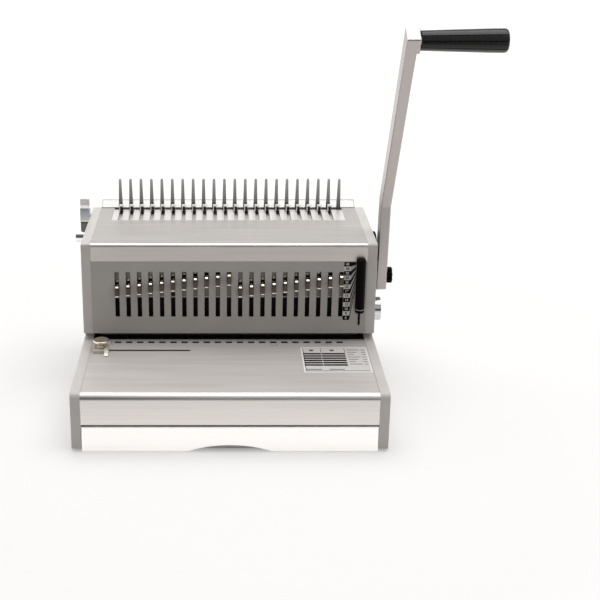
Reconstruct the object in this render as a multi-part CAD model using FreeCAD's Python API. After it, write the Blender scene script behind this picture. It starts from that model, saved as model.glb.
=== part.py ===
import FreeCAD, Part
import math
import os

os.makedirs("parts", exist_ok=True)
V = FreeCAD.Vector

# Sizes in millimetres. While a piece is drawn, X is 0 on the body's middle plane, Y is 0 on the
# front of the punching head and grows to the back, and Z is 0 on the surface it stands on.

# Comb pattern
comb_pitch = 14.2875
end_room = 25.0
first_stair = 11

# Body
body_width = 375.0
plate_thick = 12.0
table_reach = 165.0
head_depth = 166.0
foot_height = 3.0
foot_radius = 8.0
foot_inset = 22.0
base_height = 71.0
table_drop = 1.0
throat_height = 10.0
notch_depth = 16.0
head_height = 121.0
base_corner_radius = 8.0
head_corner_radius = 3.0
plate_edge_radius = 0.8
sheet = 1.5
table_sheet = 2.0
table_bend_radius = 8.0
cover_bend_radius = 4.0

# Clearances
running_gap = 0.05
press_gap = 0.01
slide_gap = 0.3
swing_gap = 0.4
bite = 1.0
near = 0.01

# Gear teeth, in modules
dedendum = 1.25
tooth_play = 0.1
fine_tooth_play = 0.2
pressure_angle = 20.0
flank_points = 5

# Waste drawer
drawer_front_height = 31.5
drawer_front_thick = 5.0
drawer_front_lift = 1.2
drawer_proud = 3.0
drawer_length = 222.0
drawer_wall = 1.5
drawer_edge_radius = 1.0
tray_drop = 1.0
tray_side_gap = 2.3
arch_width = 101.0
arch_height = 8.3
band_gap = 1.2

# Punching
ram_setback = 7.0
ram_thick = 14.0
ram_height = 44.6
ram_lift = 48.4
ram_end_gap = 3.0
punch_width = 8.0
punch_depth = 3.0
punch_gap = 0.1
punch_step = 0.6
punch_rest = 1.5
punch_socket = 33.6
die_height = 12.0
die_front = 10.0
die_back = 20.0
guide_height = 16.0
guide_back = 10.0
post_radius = 5.0
post_inset = 12.5
post_top_gap = 4.0
spring_wire = 1.6
spring_turns = 5
spring_post_gap = 1.0
spring_end_gap = 0.1
turn_samples = 16

# Windows and die pulls
window_width = 5.7
window_bottom = 22.8
window_height = 60.9
panel_height = 98.0
pull_width = 4.6
pull_height = 15.0
pull_reach = 6.5
pull_slope = 4.5
pull_lip_height = 1.5
pull_lip_thick = 1.0
pull_lift = 50.8
pull_step = 1.6
pull_pin_radius = 1.5
pull_ram_gap = 1.5
pull_pin_past = 1.0

# Punch handle
shaft_y = 57.0
shaft_z = 174.0
shaft_radius = 8.0
bush_wall = 4.0
gear_width = 12.0
gear_spacing = 240.0
rack_top_gap = 1.0
shaft_end_gap = 0.5
drive_module = 1.5
drive_teeth = 23
hub_radius = 28.0
hub_thick = 7.0
hub_flange = 3.5
hub_boss_radius = 11.5
arm_width = 13.0
arm_depth = 22.0
arm_below = 49.0
arm_lower = 70.0
arm_upper = 278.0
arm_lower_lean = 4.5
arm_upper_lean = 31.7
arm_edge_radius = 1.0
boss_extra = 4.0
boss_length = 20.0
grip_drop = 10.0
grip_length = 98.0
grip_root_radius = 11.4
grip_swell_radius = 13.9
grip_end_round = 5.0
grip_round_margin = 0.4
grip_flutes = 10
flute_width = 4.2
flute_depth = 0.9
spindle_radius = 5.0
spindle_length = 80.0
star_radius = 10.5
star_thick = 7.0
star_lobes = 8
star_notch_radius = 2.2
star_drop = 32.0
star_stud_radius = 4.0
star_stud_length = 9.0

# Comb opener
comb_shaft_inset = 36.0
comb_shaft_z = 173.0
comb_shaft_radius = 6.0
comb_module = 1.25
comb_teeth = 26
comb_gear_width = 8.0
rack_inset = 9.5
carriage_thick = 4.0
carriage_depth = 40.0
carriage_back_gap = 12.0
carriage_side_gap = 0.8
rack_ahead = 9.0
rack_back = 4.2
rack_end_gap = 0.5
rod_radius = 3.0
rod_inset = 5.0
rod_drop = 2.0
block_width = 8.0
block_depth = 30.0
block_wall = 2.0
seam_y = 71.0
comb_plate_depth = 51.0
comb_plate_inset = 11.0
comb_plate_rim = 6.98125
comb_plate_thick = 2.1
comb_plate_drop = 0.4
slot_width = 5.0
slot_front_rim = 2.0
slot_back_rim = 2.0
comb_row_shift = 1.8
finger_height = 44.0
finger_base = 5.8
finger_tip = 3.8
finger_thick = 3.0
finger_lean = 3.0
finger_gap_front = 1.5
finger_bar_depth = 6.0
finger_bar_height = 16.0
finger_bar_gap = 3.0
hook_offset = 1.65
hook_width = 3.0
hook_depth = 4.0
hook_height = 7.0
hook_lip = 2.5
hook_lip_thick = 2.0
hook_chamfer = 2.0
hook_slot_gap = 1.0
lever_hub_radius = 9.0
lever_hub_reach = 20.5
lever_width = 13.0
lever_rise = 53.5
lever_neck = 9.0
lever_face = 14.0
lever_shelf_rise = 27.0
lever_shelf_out = 1.0
lever_flare = 7.0
lever_flare_edge = 3.6
lever_crease_rise = 42.0
lever_crease_in = 4.0
lever_crease_height = 3.0
lever_cap_front = 2.0
lever_cap_bevel = 3.0
lever_end_wall = 2.0
lip_rise = 8.0
lip_lean = 15.0
rear_sheet = 2.0

# Comb-size selector
selector_inset = 8.5
selector_radius = 6.0
selector_axis_out = 3.5
selector_bottom = 30.0
selector_height = 72.0
selector_round = 2.0
selector_slot = 2.9
selector_slot_bottom = 11.0
selector_travel = 17.0
selector_tongue = 2.3
selector_tongue_low = 4.0
selector_tongue_height = 52.0
selector_plate_thick = 2.0
selector_plate_width = 8.0

# Margin knob and paper stop
margin_y = 38.0
margin_z = 103.0
margin_shaft_radius = 4.0
margin_module = 0.5
margin_teeth = 20
margin_gear_width = 7.0
margin_knob_radius = 15.5
margin_knob_thick = 11.0
knob_edge_radius = 1.2
knob_end_wall = 2.0
stop_setback = 4.0
stop_thick = 7.0
stop_top_gap = 0.5
stop_arm_lift = 1.0
stop_arm_inset = 7.5
stop_arm_width = 8.0
stop_arm_reach = 25.0
stop_arm_post = 6.0
stop_rack_ahead = 10.0
stop_rack_height = 5.4
stop_arm_height = 7.0

# Edge guide
guide_y = -33.0
guide_inset = 13.5
guide_travel = 105.0
guide_size = 20.0
guide_thick = 4.4
guide_edge_radius = 1.0
guide_slot = 4.4
guide_slot_slack = 1.0
guide_tongue = 3.8
guide_tongue_length = 10.0
guide_fence = 5.0
guide_fence_reach = 10.0
guide_fence_rise = 1.8
guide_foot_thick = 3.7
guide_foot_width = 14.0
thumb_radius = 10.0
thumb_neck_radius = 5.0
thumb_height = 10.0
thumb_neck_height = 3.0
thumb_rim = 2.0
thumb_chamfer = 0.5
thumb_dish_rim = 2.0
thumb_dish = 1.0
thumb_stud_radius = 2.0
thumb_stud_length = 3.5

# Frame members
tie_radius = 6.0
front_tie = (-90.0, 52.0)
middle_tie = (80.0, 60.0)
back_tie_inset = 26.0
back_tie_z = 90.0
deck_bar_setback = 1.0
deck_bar_depth = 8.0
deck_bar_height = 14.0
screw_radius = 2.5
screw_length = 22.0
screw_head_radius = 4.5
screw_head = 5.0
pan_sheet = 1.5

# Derived places
x_out = body_width / 2
x_in = x_out - plate_thick
body_front = -table_reach
hole_count = int((2 * x_in - 2 * end_room) / comb_pitch)
plate_top = foot_height + base_height
table_top = plate_top - table_drop
head_bottom = table_top + throat_height
head_top = head_bottom + head_height
deck_under = head_top - sheet
back_inside = head_depth - rear_sheet
pan_top = foot_height + pan_sheet

tie_places = (front_tie, middle_tie, (head_depth - back_tie_inset, back_tie_z))

ram_front = ram_setback
ram_back = ram_setback + ram_thick
punch_y = (ram_front + ram_back) / 2
ram_bottom = head_bottom + ram_lift
ram_top = ram_bottom + ram_height
guide_front = punch_y - die_front
guide_top = head_bottom + guide_height
post_x = x_in - post_inset
pin_radius_hole = pull_pin_radius + running_gap

bush_radius = shaft_radius + running_gap + bush_wall
comb_bush_radius = comb_shaft_radius + running_gap + bush_wall
margin_bush_radius = margin_shaft_radius + running_gap + bush_wall
hub_inner_x = x_out + swing_gap
arm_inner_x = hub_inner_x + hub_thick
arm_outer_x = arm_inner_x + arm_width
boss_outer_x = arm_outer_x + boss_extra
grip_outer_x = boss_outer_x + grip_length
lever_outer_x = x_out + lever_hub_reach

drive_radius = drive_module * drive_teeth / 2
drive_rack_y = shaft_y - drive_radius
comb_shaft_y = head_depth - comb_shaft_inset
comb_plate_back = head_depth - comb_plate_inset
comb_plate_front = comb_plate_back - comb_plate_depth
comb_plate_half = hole_count * comb_pitch / 2 + comb_plate_rim
comb_gear_radius = comb_module * comb_teeth / 2
comb_rack_z = comb_shaft_z + comb_gear_radius
comb_rack_root = comb_rack_z + dedendum * comb_module
comb_rack_x = x_in - rack_inset - comb_gear_width / 2
carriage_under = comb_rack_root + rack_back
carriage_top = carriage_under + carriage_thick
carriage_back = head_depth - carriage_back_gap
carriage_front = carriage_back - carriage_depth
rod_x = x_in - rod_inset
rod_z = carriage_under - rod_drop
margin_gear_radius = margin_module * margin_teeth / 2
margin_rack_z = margin_z - margin_gear_radius
stop_face = punch_y + stop_setback
selector_x = x_in - selector_inset
guide_rest_x = guide_inset - x_in
lip_run = math.hypot(lip_lean, lip_rise)
lip_out_y = rear_sheet * lip_rise / lip_run
lip_out_z = rear_sheet * lip_lean / lip_run
finger_front = comb_plate_back + finger_gap_front
finger_foot = comb_rack_z - comb_module - finger_bar_gap

window_xs = [(i - (hole_count - 1) / 2) * comb_pitch for i in range(hole_count)]
stairs = [i if i < first_stair else i - first_stair for i in range(hole_count)]
finger_xs = [(i - hole_count / 2) * comb_pitch + comb_row_shift for i in range(hole_count + 1)]
hook_xs = [x + hook_offset for x in finger_xs[:-1]]

# The origin is under the middle of the whole machine, handle and lever included.
middle_x = (grip_outer_x - lever_outer_x) / 2
middle_y = (back_inside + lip_lean + lip_out_y + body_front - drawer_proud) / 2


def box(x0, x1, y0, y1, z0, z1):
    return Part.makeBox(x1 - x0, y1 - y0, z1 - z0, V(x0, y0, z0))


def rod_along_x(radius, x0, x1, y, z):
    return Part.makeCylinder(radius, x1 - x0, V(x0, y, z), V(1, 0, 0))


def rod_along_y(radius, y0, y1, x, z):
    return Part.makeCylinder(radius, y1 - y0, V(x, y0, z), V(0, 1, 0))


def rod_along_z(radius, z0, z1, x, y):
    return Part.makeCylinder(radius, z1 - z0, V(x, y, z0), V(0, 0, 1))


def prism_x(outline, x0, x1):
    """Extrude an outline of (y, z) points from x0 to x1."""
    points = [V(x0, y, z) for y, z in outline]
    face = Part.Face(Part.makePolygon(points + points[:1]))
    return face.extrude(V(x1 - x0, 0, 0))


def round_along_x(shape, places, radius):
    """Fillet the edges along X at the given (y, z) places."""
    def here(edge):
        return any(all(abs(v.Y - y) < near and abs(v.Z - z) < near for v in edge.Vertexes)
                   for y, z in places)
    return shape.makeFillet(radius, [e for e in shape.Edges if len(e.Vertexes) == 2 and here(e)])


def round_outline(shape, x, radius):
    """Fillet every edge that lies in the plane at x."""
    edges = [e for e in shape.Edges if abs(e.BoundBox.XMax - x) < near and abs(e.BoundBox.XMin - x) < near]
    return shape.makeFillet(radius, edges)


def gear_outline(module, teeth, axis_y, axis_z, toward, play):
    """Involute pinion outline in (y, z), with one tooth pointing along the angle toward."""
    pressure = math.radians(pressure_angle)
    pitch = module * teeth / 2
    base = pitch * math.cos(pressure)
    tip = pitch + module
    root = pitch - dedendum * module
    half = math.pi / (2 * teeth) - play * module / (2 * pitch) + math.tan(pressure) - pressure
    flank = [(root, half)] if root < base else []
    start = max(base, root)
    for i in range(flank_points):
        radius = start + (tip - start) * i / (flank_points - 1)
        angle = math.acos(min(1.0, base / radius))
        flank.append((radius, half - math.tan(angle) + angle))
    points = []
    for tooth in range(teeth):
        axis = toward + 2 * math.pi * tooth / teeth
        points += [(r, axis - a) for r, a in flank]
        points += [(r, axis + a) for r, a in flank[::-1]]
    return [(axis_y + r * math.cos(a), axis_z + r * math.sin(a)) for r, a in points]


def rack_outline(module, low, high, gap_at, play):
    """Rack profile as (along, height) points, height 0 on the pitch line, a tooth gap at gap_at."""
    pitch = math.pi * module
    slope = math.tan(math.radians(pressure_angle))
    at_tip = (pitch / 2 - play * module) / 2 - module * slope
    at_root = at_tip + (1 + dedendum) * module * slope
    root = -dedendum * module
    points = [(low, root)]
    count = int((high - low) / pitch) + 2
    for i in range(-count, count + 1):
        middle = gap_at + (i + 0.5) * pitch
        if middle - at_root > low and middle + at_root < high:
            points += [(middle - at_root, root), (middle - at_tip, module),
                       (middle + at_tip, module), (middle + at_root, root)]
    return points + [(high, root)]


def bush(radius, outer, side, y, z):
    x0 = min(side * x_in, side * x_out)
    ring = rod_along_x(outer - press_gap, x0, x0 + plate_thick, y, z)
    return ring.cut(rod_along_x(radius + running_gap, x0, x0 + plate_thick, y, z))


def side_plate(side):
    """One thick L-shaped plate, notched where the paper throat runs out at the side."""
    inner, outer = sorted((side * x_in, side * x_out))
    outline = [(body_front, foot_height), (head_depth, foot_height), (head_depth, head_top),
               (0, head_top), (0, head_bottom), (notch_depth, head_bottom),
               (notch_depth, plate_top), (body_front, plate_top)]
    plate = prism_x(outline, inner, outer)
    plate = round_along_x(plate, [(body_front, plate_top)], base_corner_radius)
    plate = round_along_x(plate, [(0, head_top)], head_corner_radius)
    plate = round_outline(plate, side * x_out, plate_edge_radius)
    holes = [(bush_radius, shaft_y, shaft_z), (comb_bush_radius, comb_shaft_y, comb_shaft_z),
             (margin_bush_radius, margin_y, margin_z)]
    for radius, y, z in holes:
        plate = plate.cut(rod_along_x(radius, inner, outer, y, z))
    for y, z in tie_places:
        plate = plate.cut(rod_along_x(screw_radius + running_gap, inner, outer, y, z))
        head_in = side * (x_out - screw_head)
        start, end = sorted((head_in, side * x_out))
        plate = plate.cut(rod_along_x(screw_head_radius + running_gap, start, end, y, z))
    return plate


def shaft_bushes():
    rings = []
    for side in (-1, 1):
        rings.append(bush(shaft_radius, bush_radius, side, shaft_y, shaft_z))
        rings.append(bush(comb_shaft_radius, comb_bush_radius, side, comb_shaft_y, comb_shaft_z))
        rings.append(bush(margin_shaft_radius, margin_bush_radius, side, margin_y, margin_z))
    return Part.makeCompound(rings)


def cross_members():
    """Round tie bars low in the body and the flat bar under the seam of the deck."""
    bars = []
    for y, z in tie_places:
        bar = rod_along_x(tie_radius, -x_in, x_in, y, z)
        for side in (-1, 1):
            start, end = sorted((side * x_in, side * (x_in - screw_length)))
            bar = bar.cut(rod_along_x(screw_radius + running_gap, start, end, y, z))
        bars.append(bar)
    front = seam_y + deck_bar_setback
    bars.append(box(-x_in, x_in, front, front + deck_bar_depth, deck_under - deck_bar_height, deck_under))
    return Part.makeCompound(bars)


def frame_screws():
    screws = []
    for side in (-1, 1):
        for y, z in tie_places:
            seat = side * (x_out - screw_head)
            start, end = sorted((seat, side * x_out))
            head = rod_along_x(screw_head_radius, start, end, y, z)
            tip = side * (x_out - screw_length)
            start, end = sorted((tip, seat))
            screws.append(head.fuse(rod_along_x(screw_radius, start, end, y, z)).removeSplitter())
    return Part.makeCompound(screws)


def base_pan():
    return box(-x_in, x_in, body_front + table_sheet, back_inside, foot_height, pan_top)


def rubber_feet():
    feet = []
    for x in (-x_in + foot_inset, x_in - foot_inset):
        for y in (body_front + foot_inset, head_depth - foot_inset):
            feet.append(rod_along_z(foot_radius, 0, foot_height, x, y))
    return Part.makeCompound(feet)


def table_plate():
    """Table sheet, rolled over at the front and carried down as a band above the drawer."""
    bottom = drawer_front_lift + drawer_front_height + band_gap
    outline = [(body_front, bottom), (body_front, table_top), (guide_front, table_top),
               (guide_front, table_top - table_sheet), (body_front + table_sheet, table_top - table_sheet),
               (body_front + table_sheet, bottom)]
    table = prism_x(outline, -x_in, x_in)
    table = round_along_x(table, [(body_front, table_top)], table_bend_radius)
    inner_corner = (body_front + table_sheet, table_top - table_sheet)
    table = round_along_x(table, [inner_corner], table_bend_radius - table_sheet)
    half = guide_slot / 2
    reach = guide_tongue_length / 2 + guide_slot_slack
    slot_start = guide_rest_x - reach
    slot_end = guide_rest_x + guide_travel + reach
    under = table_top - table_sheet
    slot = box(slot_start, slot_end, guide_y - half, guide_y + half, under, table_top)
    for x in (slot_start, slot_end):
        slot = slot.fuse(rod_along_z(half, under, table_top, x, guide_y))
    return table.cut(slot)


def die_plate():
    back = punch_y + die_back
    plate = box(-x_in, x_in, guide_front, back, table_top - die_height, table_top)
    return plate.cut(punch_holes(table_top - die_height, table_top))


def punch_guide():
    bar = box(-x_in, x_in, guide_front, punch_y + guide_back, head_bottom, guide_top)
    bar = bar.cut(punch_holes(head_bottom, guide_top))
    for x in (-post_x, post_x):
        bar = bar.cut(rod_along_z(post_radius + press_gap, head_bottom, guide_top, x, punch_y))
    return bar


def punch_holes(bottom, top):
    half_x = punch_width / 2 + punch_gap
    half_y = punch_depth / 2 + punch_gap
    return Part.makeCompound([box(x - half_x, x + half_x, punch_y - half_y, punch_y + half_y, bottom, top)
                              for x in window_xs])


def guide_posts():
    top = deck_under - post_top_gap
    return Part.makeCompound([rod_along_z(post_radius, head_bottom, top, x, punch_y)
                              for x in (-post_x, post_x)])


def pull_bottom(i):
    return head_bottom + pull_lift + pull_step * stairs[i]


def pull_pin_z(i):
    return pull_bottom(i) + pull_height / 2


def ram_bar():
    end = x_in - ram_end_gap
    bar = box(-end, end, ram_front, ram_back, ram_bottom, ram_top)
    bar = bar.cut(punch_holes(ram_bottom, ram_bottom + punch_socket))
    for x in (-post_x, post_x):
        bar = bar.cut(rod_along_z(post_radius + running_gap, ram_bottom, ram_top, x, punch_y))
    pin_end = punch_y + punch_depth / 2 + pull_pin_past + slide_gap
    for i, x in enumerate(window_xs):
        bar = bar.cut(rod_along_y(pin_radius_hole, ram_front, pin_end, x, pull_pin_z(i)))
    return bar


def punches():
    """Flat punches, staggered at the tip so that they bite one after another."""
    row = []
    for i, x in enumerate(window_xs):
        tip = head_bottom + punch_rest + punch_step * stairs[i]
        top = ram_bottom + punch_socket
        punch = box(x - punch_width / 2, x + punch_width / 2, punch_y - punch_depth / 2,
                    punch_y + punch_depth / 2, tip, top)
        hole = rod_along_y(pin_radius_hole, punch_y - punch_depth, punch_y + punch_depth, x, pull_pin_z(i))
        row.append(punch.cut(hole))
    return Part.makeCompound(row)


def ram_racks():
    """Upright racks on the back of the ram, with their teeth towards the main shaft."""
    low = ram_bottom + ram_height / 4
    high = deck_under - rack_top_gap
    teeth = rack_outline(drive_module, low, high, shaft_z, tooth_play)
    outline = [(drive_rack_y + height, z) for z, height in teeth]
    outline += [(ram_back, high), (ram_back, low)]
    racks = []
    for x in (-gear_spacing / 2, gear_spacing / 2):
        racks.append(prism_x(outline, x - gear_width / 2, x + gear_width / 2))
    return Part.makeCompound(racks)


def die_pull(i):
    """Chrome finger pull that stands through its window and carries the pin of one punch."""
    x = window_xs[i]
    bottom = pull_bottom(i)
    back = ram_front - pull_ram_gap
    lip_back = pull_lip_thick - pull_reach
    lip_top = bottom + pull_lip_height
    outline = [(back, lip_top), (lip_back, lip_top), (lip_back, bottom),
               (-pull_reach, bottom), (-pull_reach, bottom + pull_height - pull_slope),
               (-pull_reach + pull_slope, bottom + pull_height), (back, bottom + pull_height)]
    body = prism_x(outline, x - pull_width / 2, x + pull_width / 2)
    end = punch_y + punch_depth / 2 + pull_pin_past
    pin = rod_along_y(pull_pin_radius, back - bite, end, x, pull_pin_z(i))
    return body.fuse(pin).removeSplitter()


def coil(x, bottom, top):
    """One compression spring as quarter turns of wire around a guide post."""
    radius = post_radius + spring_post_gap + spring_wire / 2
    rise = (top - bottom - spring_wire - 2 * spring_end_gap) / (spring_turns * 4)
    start = bottom + spring_wire / 2 + spring_end_gap

    def at(quarters):
        angle = quarters * math.pi / 2
        return V(x + radius * math.cos(angle), punch_y + radius * math.sin(angle), start + rise * quarters)

    arcs = [Part.Arc(at(q), at(q + 0.5), at(q + 1)).toShape() for q in range(spring_turns * 4)]
    path = Part.Wire(arcs)
    points = path.discretize(spring_turns * turn_samples)
    apart = [a.distanceToPoint(b) for i, a in enumerate(points) for b in points[i + turn_samples // 2:]]
    print(f"spring wire: least gap between turns {min(apart) - spring_wire:.2f} mm")
    ring = Part.Wire(Part.makeCircle(spring_wire / 2, at(0), V(0, radius, rise * 2 / math.pi)))
    return path.makePipeShell([ring], True, False)


def return_springs():
    return Part.makeCompound([coil(x, guide_top, ram_bottom) for x in (-post_x, post_x)])


def front_panel():
    """Front sheet with one window per punch and the slot of the comb-size selector."""
    panel = box(-x_in, x_in, 0, sheet, head_bottom, head_bottom + panel_height)
    low = head_bottom + window_bottom
    for x in window_xs:
        half = window_width / 2
        panel = panel.cut(box(x - half, x + half, 0, sheet, low, low + window_height))
    half = selector_slot / 2
    slot_low = head_bottom + selector_slot_bottom + half
    slot_high = head_bottom + selector_bottom + selector_tongue_low + selector_tongue_height + half
    panel = panel.cut(box(selector_x - half, selector_x + half, 0, sheet, slot_low, slot_high))
    return panel.cut(rod_along_y(half, 0, sheet, selector_x, slot_low))


def top_cover():
    """Bright band above the windows, rolled over into the front half of the deck."""
    bottom = head_bottom + panel_height
    outline = [(0, bottom), (0, head_top), (seam_y, head_top), (seam_y, deck_under),
               (sheet, deck_under), (sheet, bottom)]
    cover = prism_x(outline, -x_in, x_in)
    cover = round_along_x(cover, [(0, head_top)], cover_bend_radius)
    return round_along_x(cover, [(sheet, deck_under)], cover_bend_radius - sheet)


def comb_deck():
    deck = box(-x_in, x_in, seam_y, back_inside, deck_under, head_top)
    return deck.cut(box(-comb_plate_half, comb_plate_half, comb_plate_front, back_inside,
                        deck_under, head_top))


def comb_plate():
    """Bright plate let into the deck, with one slot for each hook."""
    top = head_top - comb_plate_drop
    plate = box(-comb_plate_half, comb_plate_half, comb_plate_front, comb_plate_back,
                top - comb_plate_thick, top)
    for x in hook_xs:
        plate = plate.cut(box(x - slot_width / 2, x + slot_width / 2, comb_plate_front + slot_front_rim,
                              comb_plate_back - slot_back_rim, top - comb_plate_thick, top))
    return plate


def finger(x):
    """One upright finger, tapered, tilted a little to the front and round at the tip."""
    tip_z = head_top + finger_height
    round_z = tip_z - finger_tip / 2
    base = finger_base / 2
    tip = finger_tip / 2
    foot = V(x - base, finger_front, finger_foot)
    edges = [Part.makeLine(foot, V(x - base, finger_front, head_top)),
             Part.makeLine(V(x - base, finger_front, head_top), V(x - tip, finger_front, round_z)),
             Part.Arc(V(x - tip, finger_front, round_z), V(x, finger_front, tip_z),
                      V(x + tip, finger_front, round_z)).toShape(),
             Part.makeLine(V(x + tip, finger_front, round_z), V(x + base, finger_front, head_top)),
             Part.makeLine(V(x + base, finger_front, head_top), V(x + base, finger_front, finger_foot)),
             Part.makeLine(V(x + base, finger_front, finger_foot), foot)]
    blank = Part.Face(Part.Wire(edges)).extrude(V(0, finger_thick, 0))
    shear = FreeCAD.Matrix()
    shear.A23 = -finger_lean / (tip_z - finger_foot)
    shear.A24 = finger_lean * finger_foot / (tip_z - finger_foot)
    return blank.transformGeometry(shear)


def comb_fingers():
    bar = box(-x_in, x_in, finger_front, finger_front + finger_bar_depth,
              finger_foot - finger_bar_height, finger_foot)
    return Part.makeCompound([bar] + [finger(x) for x in finger_xs])


def hook_carriage():
    """Sliding plate under the deck, with a rack and a rod block at each end."""
    end = x_in - carriage_side_gap
    carriage = box(-end, end, carriage_front, carriage_back, carriage_under, carriage_top)
    low = comb_shaft_y - rack_ahead
    high = back_inside - rack_end_gap
    teeth = rack_outline(comb_module, low, high, comb_shaft_y, tooth_play)
    outline = [(y, comb_rack_z - height) for y, height in teeth]
    outline += [(high, carriage_under), (low, carriage_under)]
    for side in (-1, 1):
        x = side * comb_rack_x
        rack = prism_x(outline, x - comb_gear_width / 2, x + comb_gear_width / 2)
        carriage = carriage.fuse(rack)
        x = side * rod_x
        block = box(x - block_width / 2, x + block_width / 2, carriage_back - block_depth, carriage_back,
                    rod_z - rod_radius - block_wall, carriage_under)
        carriage = carriage.fuse(block)
    carriage = carriage.removeSplitter()
    for x in (-rod_x, rod_x):
        carriage = carriage.cut(rod_along_y(rod_radius + running_gap, carriage_front - bite,
                                            carriage_back + bite, x, rod_z))
    return carriage


def carriage_rods():
    start = seam_y + deck_bar_setback + deck_bar_depth
    return Part.makeCompound([rod_along_y(rod_radius, start, back_inside, x, rod_z)
                              for x in (-rod_x, rod_x)])


def comb_hooks():
    """Hooks on the carriage that stand up through the slots and pull the comb open."""
    back = comb_plate_back - slot_back_rim - hook_slot_gap
    front = back - hook_depth
    top = head_top + hook_height
    outline = [(front, carriage_top), (back, carriage_top), (back, top - hook_lip),
               (back - hook_chamfer, top),
               (front - hook_lip, top), (front - hook_lip, top - hook_lip_thick),
               (front, top - hook_lip_thick - hook_chamfer)]
    return Part.makeCompound([prism_x(outline, x - hook_width / 2, x + hook_width / 2) for x in hook_xs])


def comb_shaft():
    shaft = rod_along_x(comb_shaft_radius, lever_end_wall - lever_outer_x, x_out - shaft_end_gap,
                        comb_shaft_y, comb_shaft_z)
    outline = gear_outline(comb_module, comb_teeth, comb_shaft_y, comb_shaft_z, math.pi / 2, tooth_play)
    for x in (-comb_rack_x, comb_rack_x):
        shaft = shaft.fuse(prism_x(outline, x - comb_gear_width / 2, x + comb_gear_width / 2))
    return shaft.removeSplitter()


def comb_lever():
    """Faceted thumb lever on the left end of the comb shaft."""
    inner = -x_out - swing_gap
    hub = rod_along_x(lever_hub_radius, -lever_outer_x, inner, comb_shaft_y, comb_shaft_z)
    neck = lever_neck / 2
    face = lever_face / 2
    top = comb_shaft_z + lever_rise
    shelf = comb_shaft_z + lever_shelf_rise
    crease = comb_shaft_z + lever_crease_rise
    flare = shelf - lever_flare
    y = comb_shaft_y
    front = y - face
    outline = [(y - neck, comb_shaft_z), (y - neck, flare),
               (front - lever_shelf_out, shelf - lever_flare_edge),
               (front - lever_shelf_out, shelf), (front, crease),
               (front + lever_crease_in, crease + lever_crease_height), (y - lever_cap_front, top),
               (y + face - lever_cap_bevel, top), (y + face, top - lever_cap_bevel), (y + face, shelf),
               (y + neck, flare), (y + neck, comb_shaft_z)]
    paddle = prism_x(outline, inner - lever_width, inner)
    lever = hub.fuse(paddle).removeSplitter()
    bore = rod_along_x(comb_shaft_radius + press_gap, lever_end_wall - lever_outer_x, inner,
                       comb_shaft_y, comb_shaft_z)
    return lever.cut(bore)


def rear_cover():
    """Back sheet whose top edge stands above the deck and leans back."""
    lip_z = head_top + lip_rise
    outline = [(back_inside, foot_height), (back_inside, head_top), (back_inside + lip_lean, lip_z),
               (back_inside + lip_lean + lip_out_y, lip_z - lip_out_z),
               (back_inside + rear_sheet, head_top - lip_out_z), (back_inside + rear_sheet, foot_height)]
    return prism_x(outline, -x_in, x_in)


def main_shaft():
    shaft = rod_along_x(shaft_radius, shaft_end_gap - x_out, arm_outer_x, shaft_y, shaft_z)
    outline = gear_outline(drive_module, drive_teeth, shaft_y, shaft_z, math.pi, tooth_play)
    for x in (-gear_spacing / 2, gear_spacing / 2):
        shaft = shaft.fuse(prism_x(outline, x - gear_width / 2, x + gear_width / 2))
    return shaft.removeSplitter()


def handle_hub():
    hub = rod_along_x(hub_radius, hub_inner_x, hub_inner_x + hub_flange, shaft_y, shaft_z)
    hub = hub.fuse(rod_along_x(hub_boss_radius, hub_inner_x, arm_inner_x, shaft_y, shaft_z)).removeSplitter()
    return hub.cut(rod_along_x(shaft_radius + press_gap, hub_inner_x, arm_inner_x, shaft_y, shaft_z))


def along_arm(distance, across):
    """Point (y, z) on the handle, at a distance above the pivot and an offset behind its middle."""
    lower = math.radians(arm_lower_lean)
    upper = math.radians(arm_upper_lean)
    if distance <= arm_lower:
        up, lean = distance, lower
        start_y, start_z = shaft_y, shaft_z
    else:
        up, lean = distance - arm_lower, upper
        start_y = shaft_y - arm_lower * math.sin(lower)
        start_z = shaft_z + arm_lower * math.cos(lower)
    return (start_y - up * math.sin(lean) + across * math.cos(lean),
            start_z + up * math.cos(lean) + across * math.sin(lean))


def arm_bend(across):
    """Corner point where the two straight runs of the arm meet, at an offset behind the middle."""
    half_turn = math.radians(arm_upper_lean - arm_lower_lean) / 2
    y, z = along_arm(arm_lower, 0)
    lean = math.radians(arm_lower_lean) + half_turn
    reach = across / math.cos(half_turn)
    return (y + reach * math.cos(lean), z + reach * math.sin(lean))


def handle_arm():
    """Bent flat bar with a thicker end block and the spindle that carries the grip."""
    half = arm_depth / 2
    tip = arm_lower + arm_upper
    outline = [along_arm(-arm_below, -half), arm_bend(-half), along_arm(tip, -half),
               along_arm(tip, half), arm_bend(half), along_arm(-arm_below, half)]
    arm = prism_x(outline, arm_inner_x, arm_outer_x)
    start = tip - boss_length
    block = [along_arm(start, -half), along_arm(tip, -half), along_arm(tip, half), along_arm(start, half)]
    arm = arm.fuse(prism_x(block, arm_inner_x, boss_outer_x)).removeSplitter()
    arm = round_outline(arm, arm_inner_x, arm_edge_radius)
    grip_y, grip_z = along_arm(tip - grip_drop, 0)
    spindle_end = boss_outer_x + spindle_length
    spindle = rod_along_x(spindle_radius, boss_outer_x - bite, spindle_end, grip_y, grip_z)
    arm = arm.fuse(spindle).removeSplitter()
    arm = arm.cut(rod_along_x(shaft_radius + press_gap, arm_inner_x, arm_outer_x, shaft_y, shaft_z))
    star_y, star_z = along_arm(-star_drop, 0)
    stud_start = arm_outer_x - star_stud_length - slide_gap
    return arm.cut(rod_along_x(star_stud_radius + running_gap, stud_start, arm_outer_x, star_y, star_z))


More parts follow.
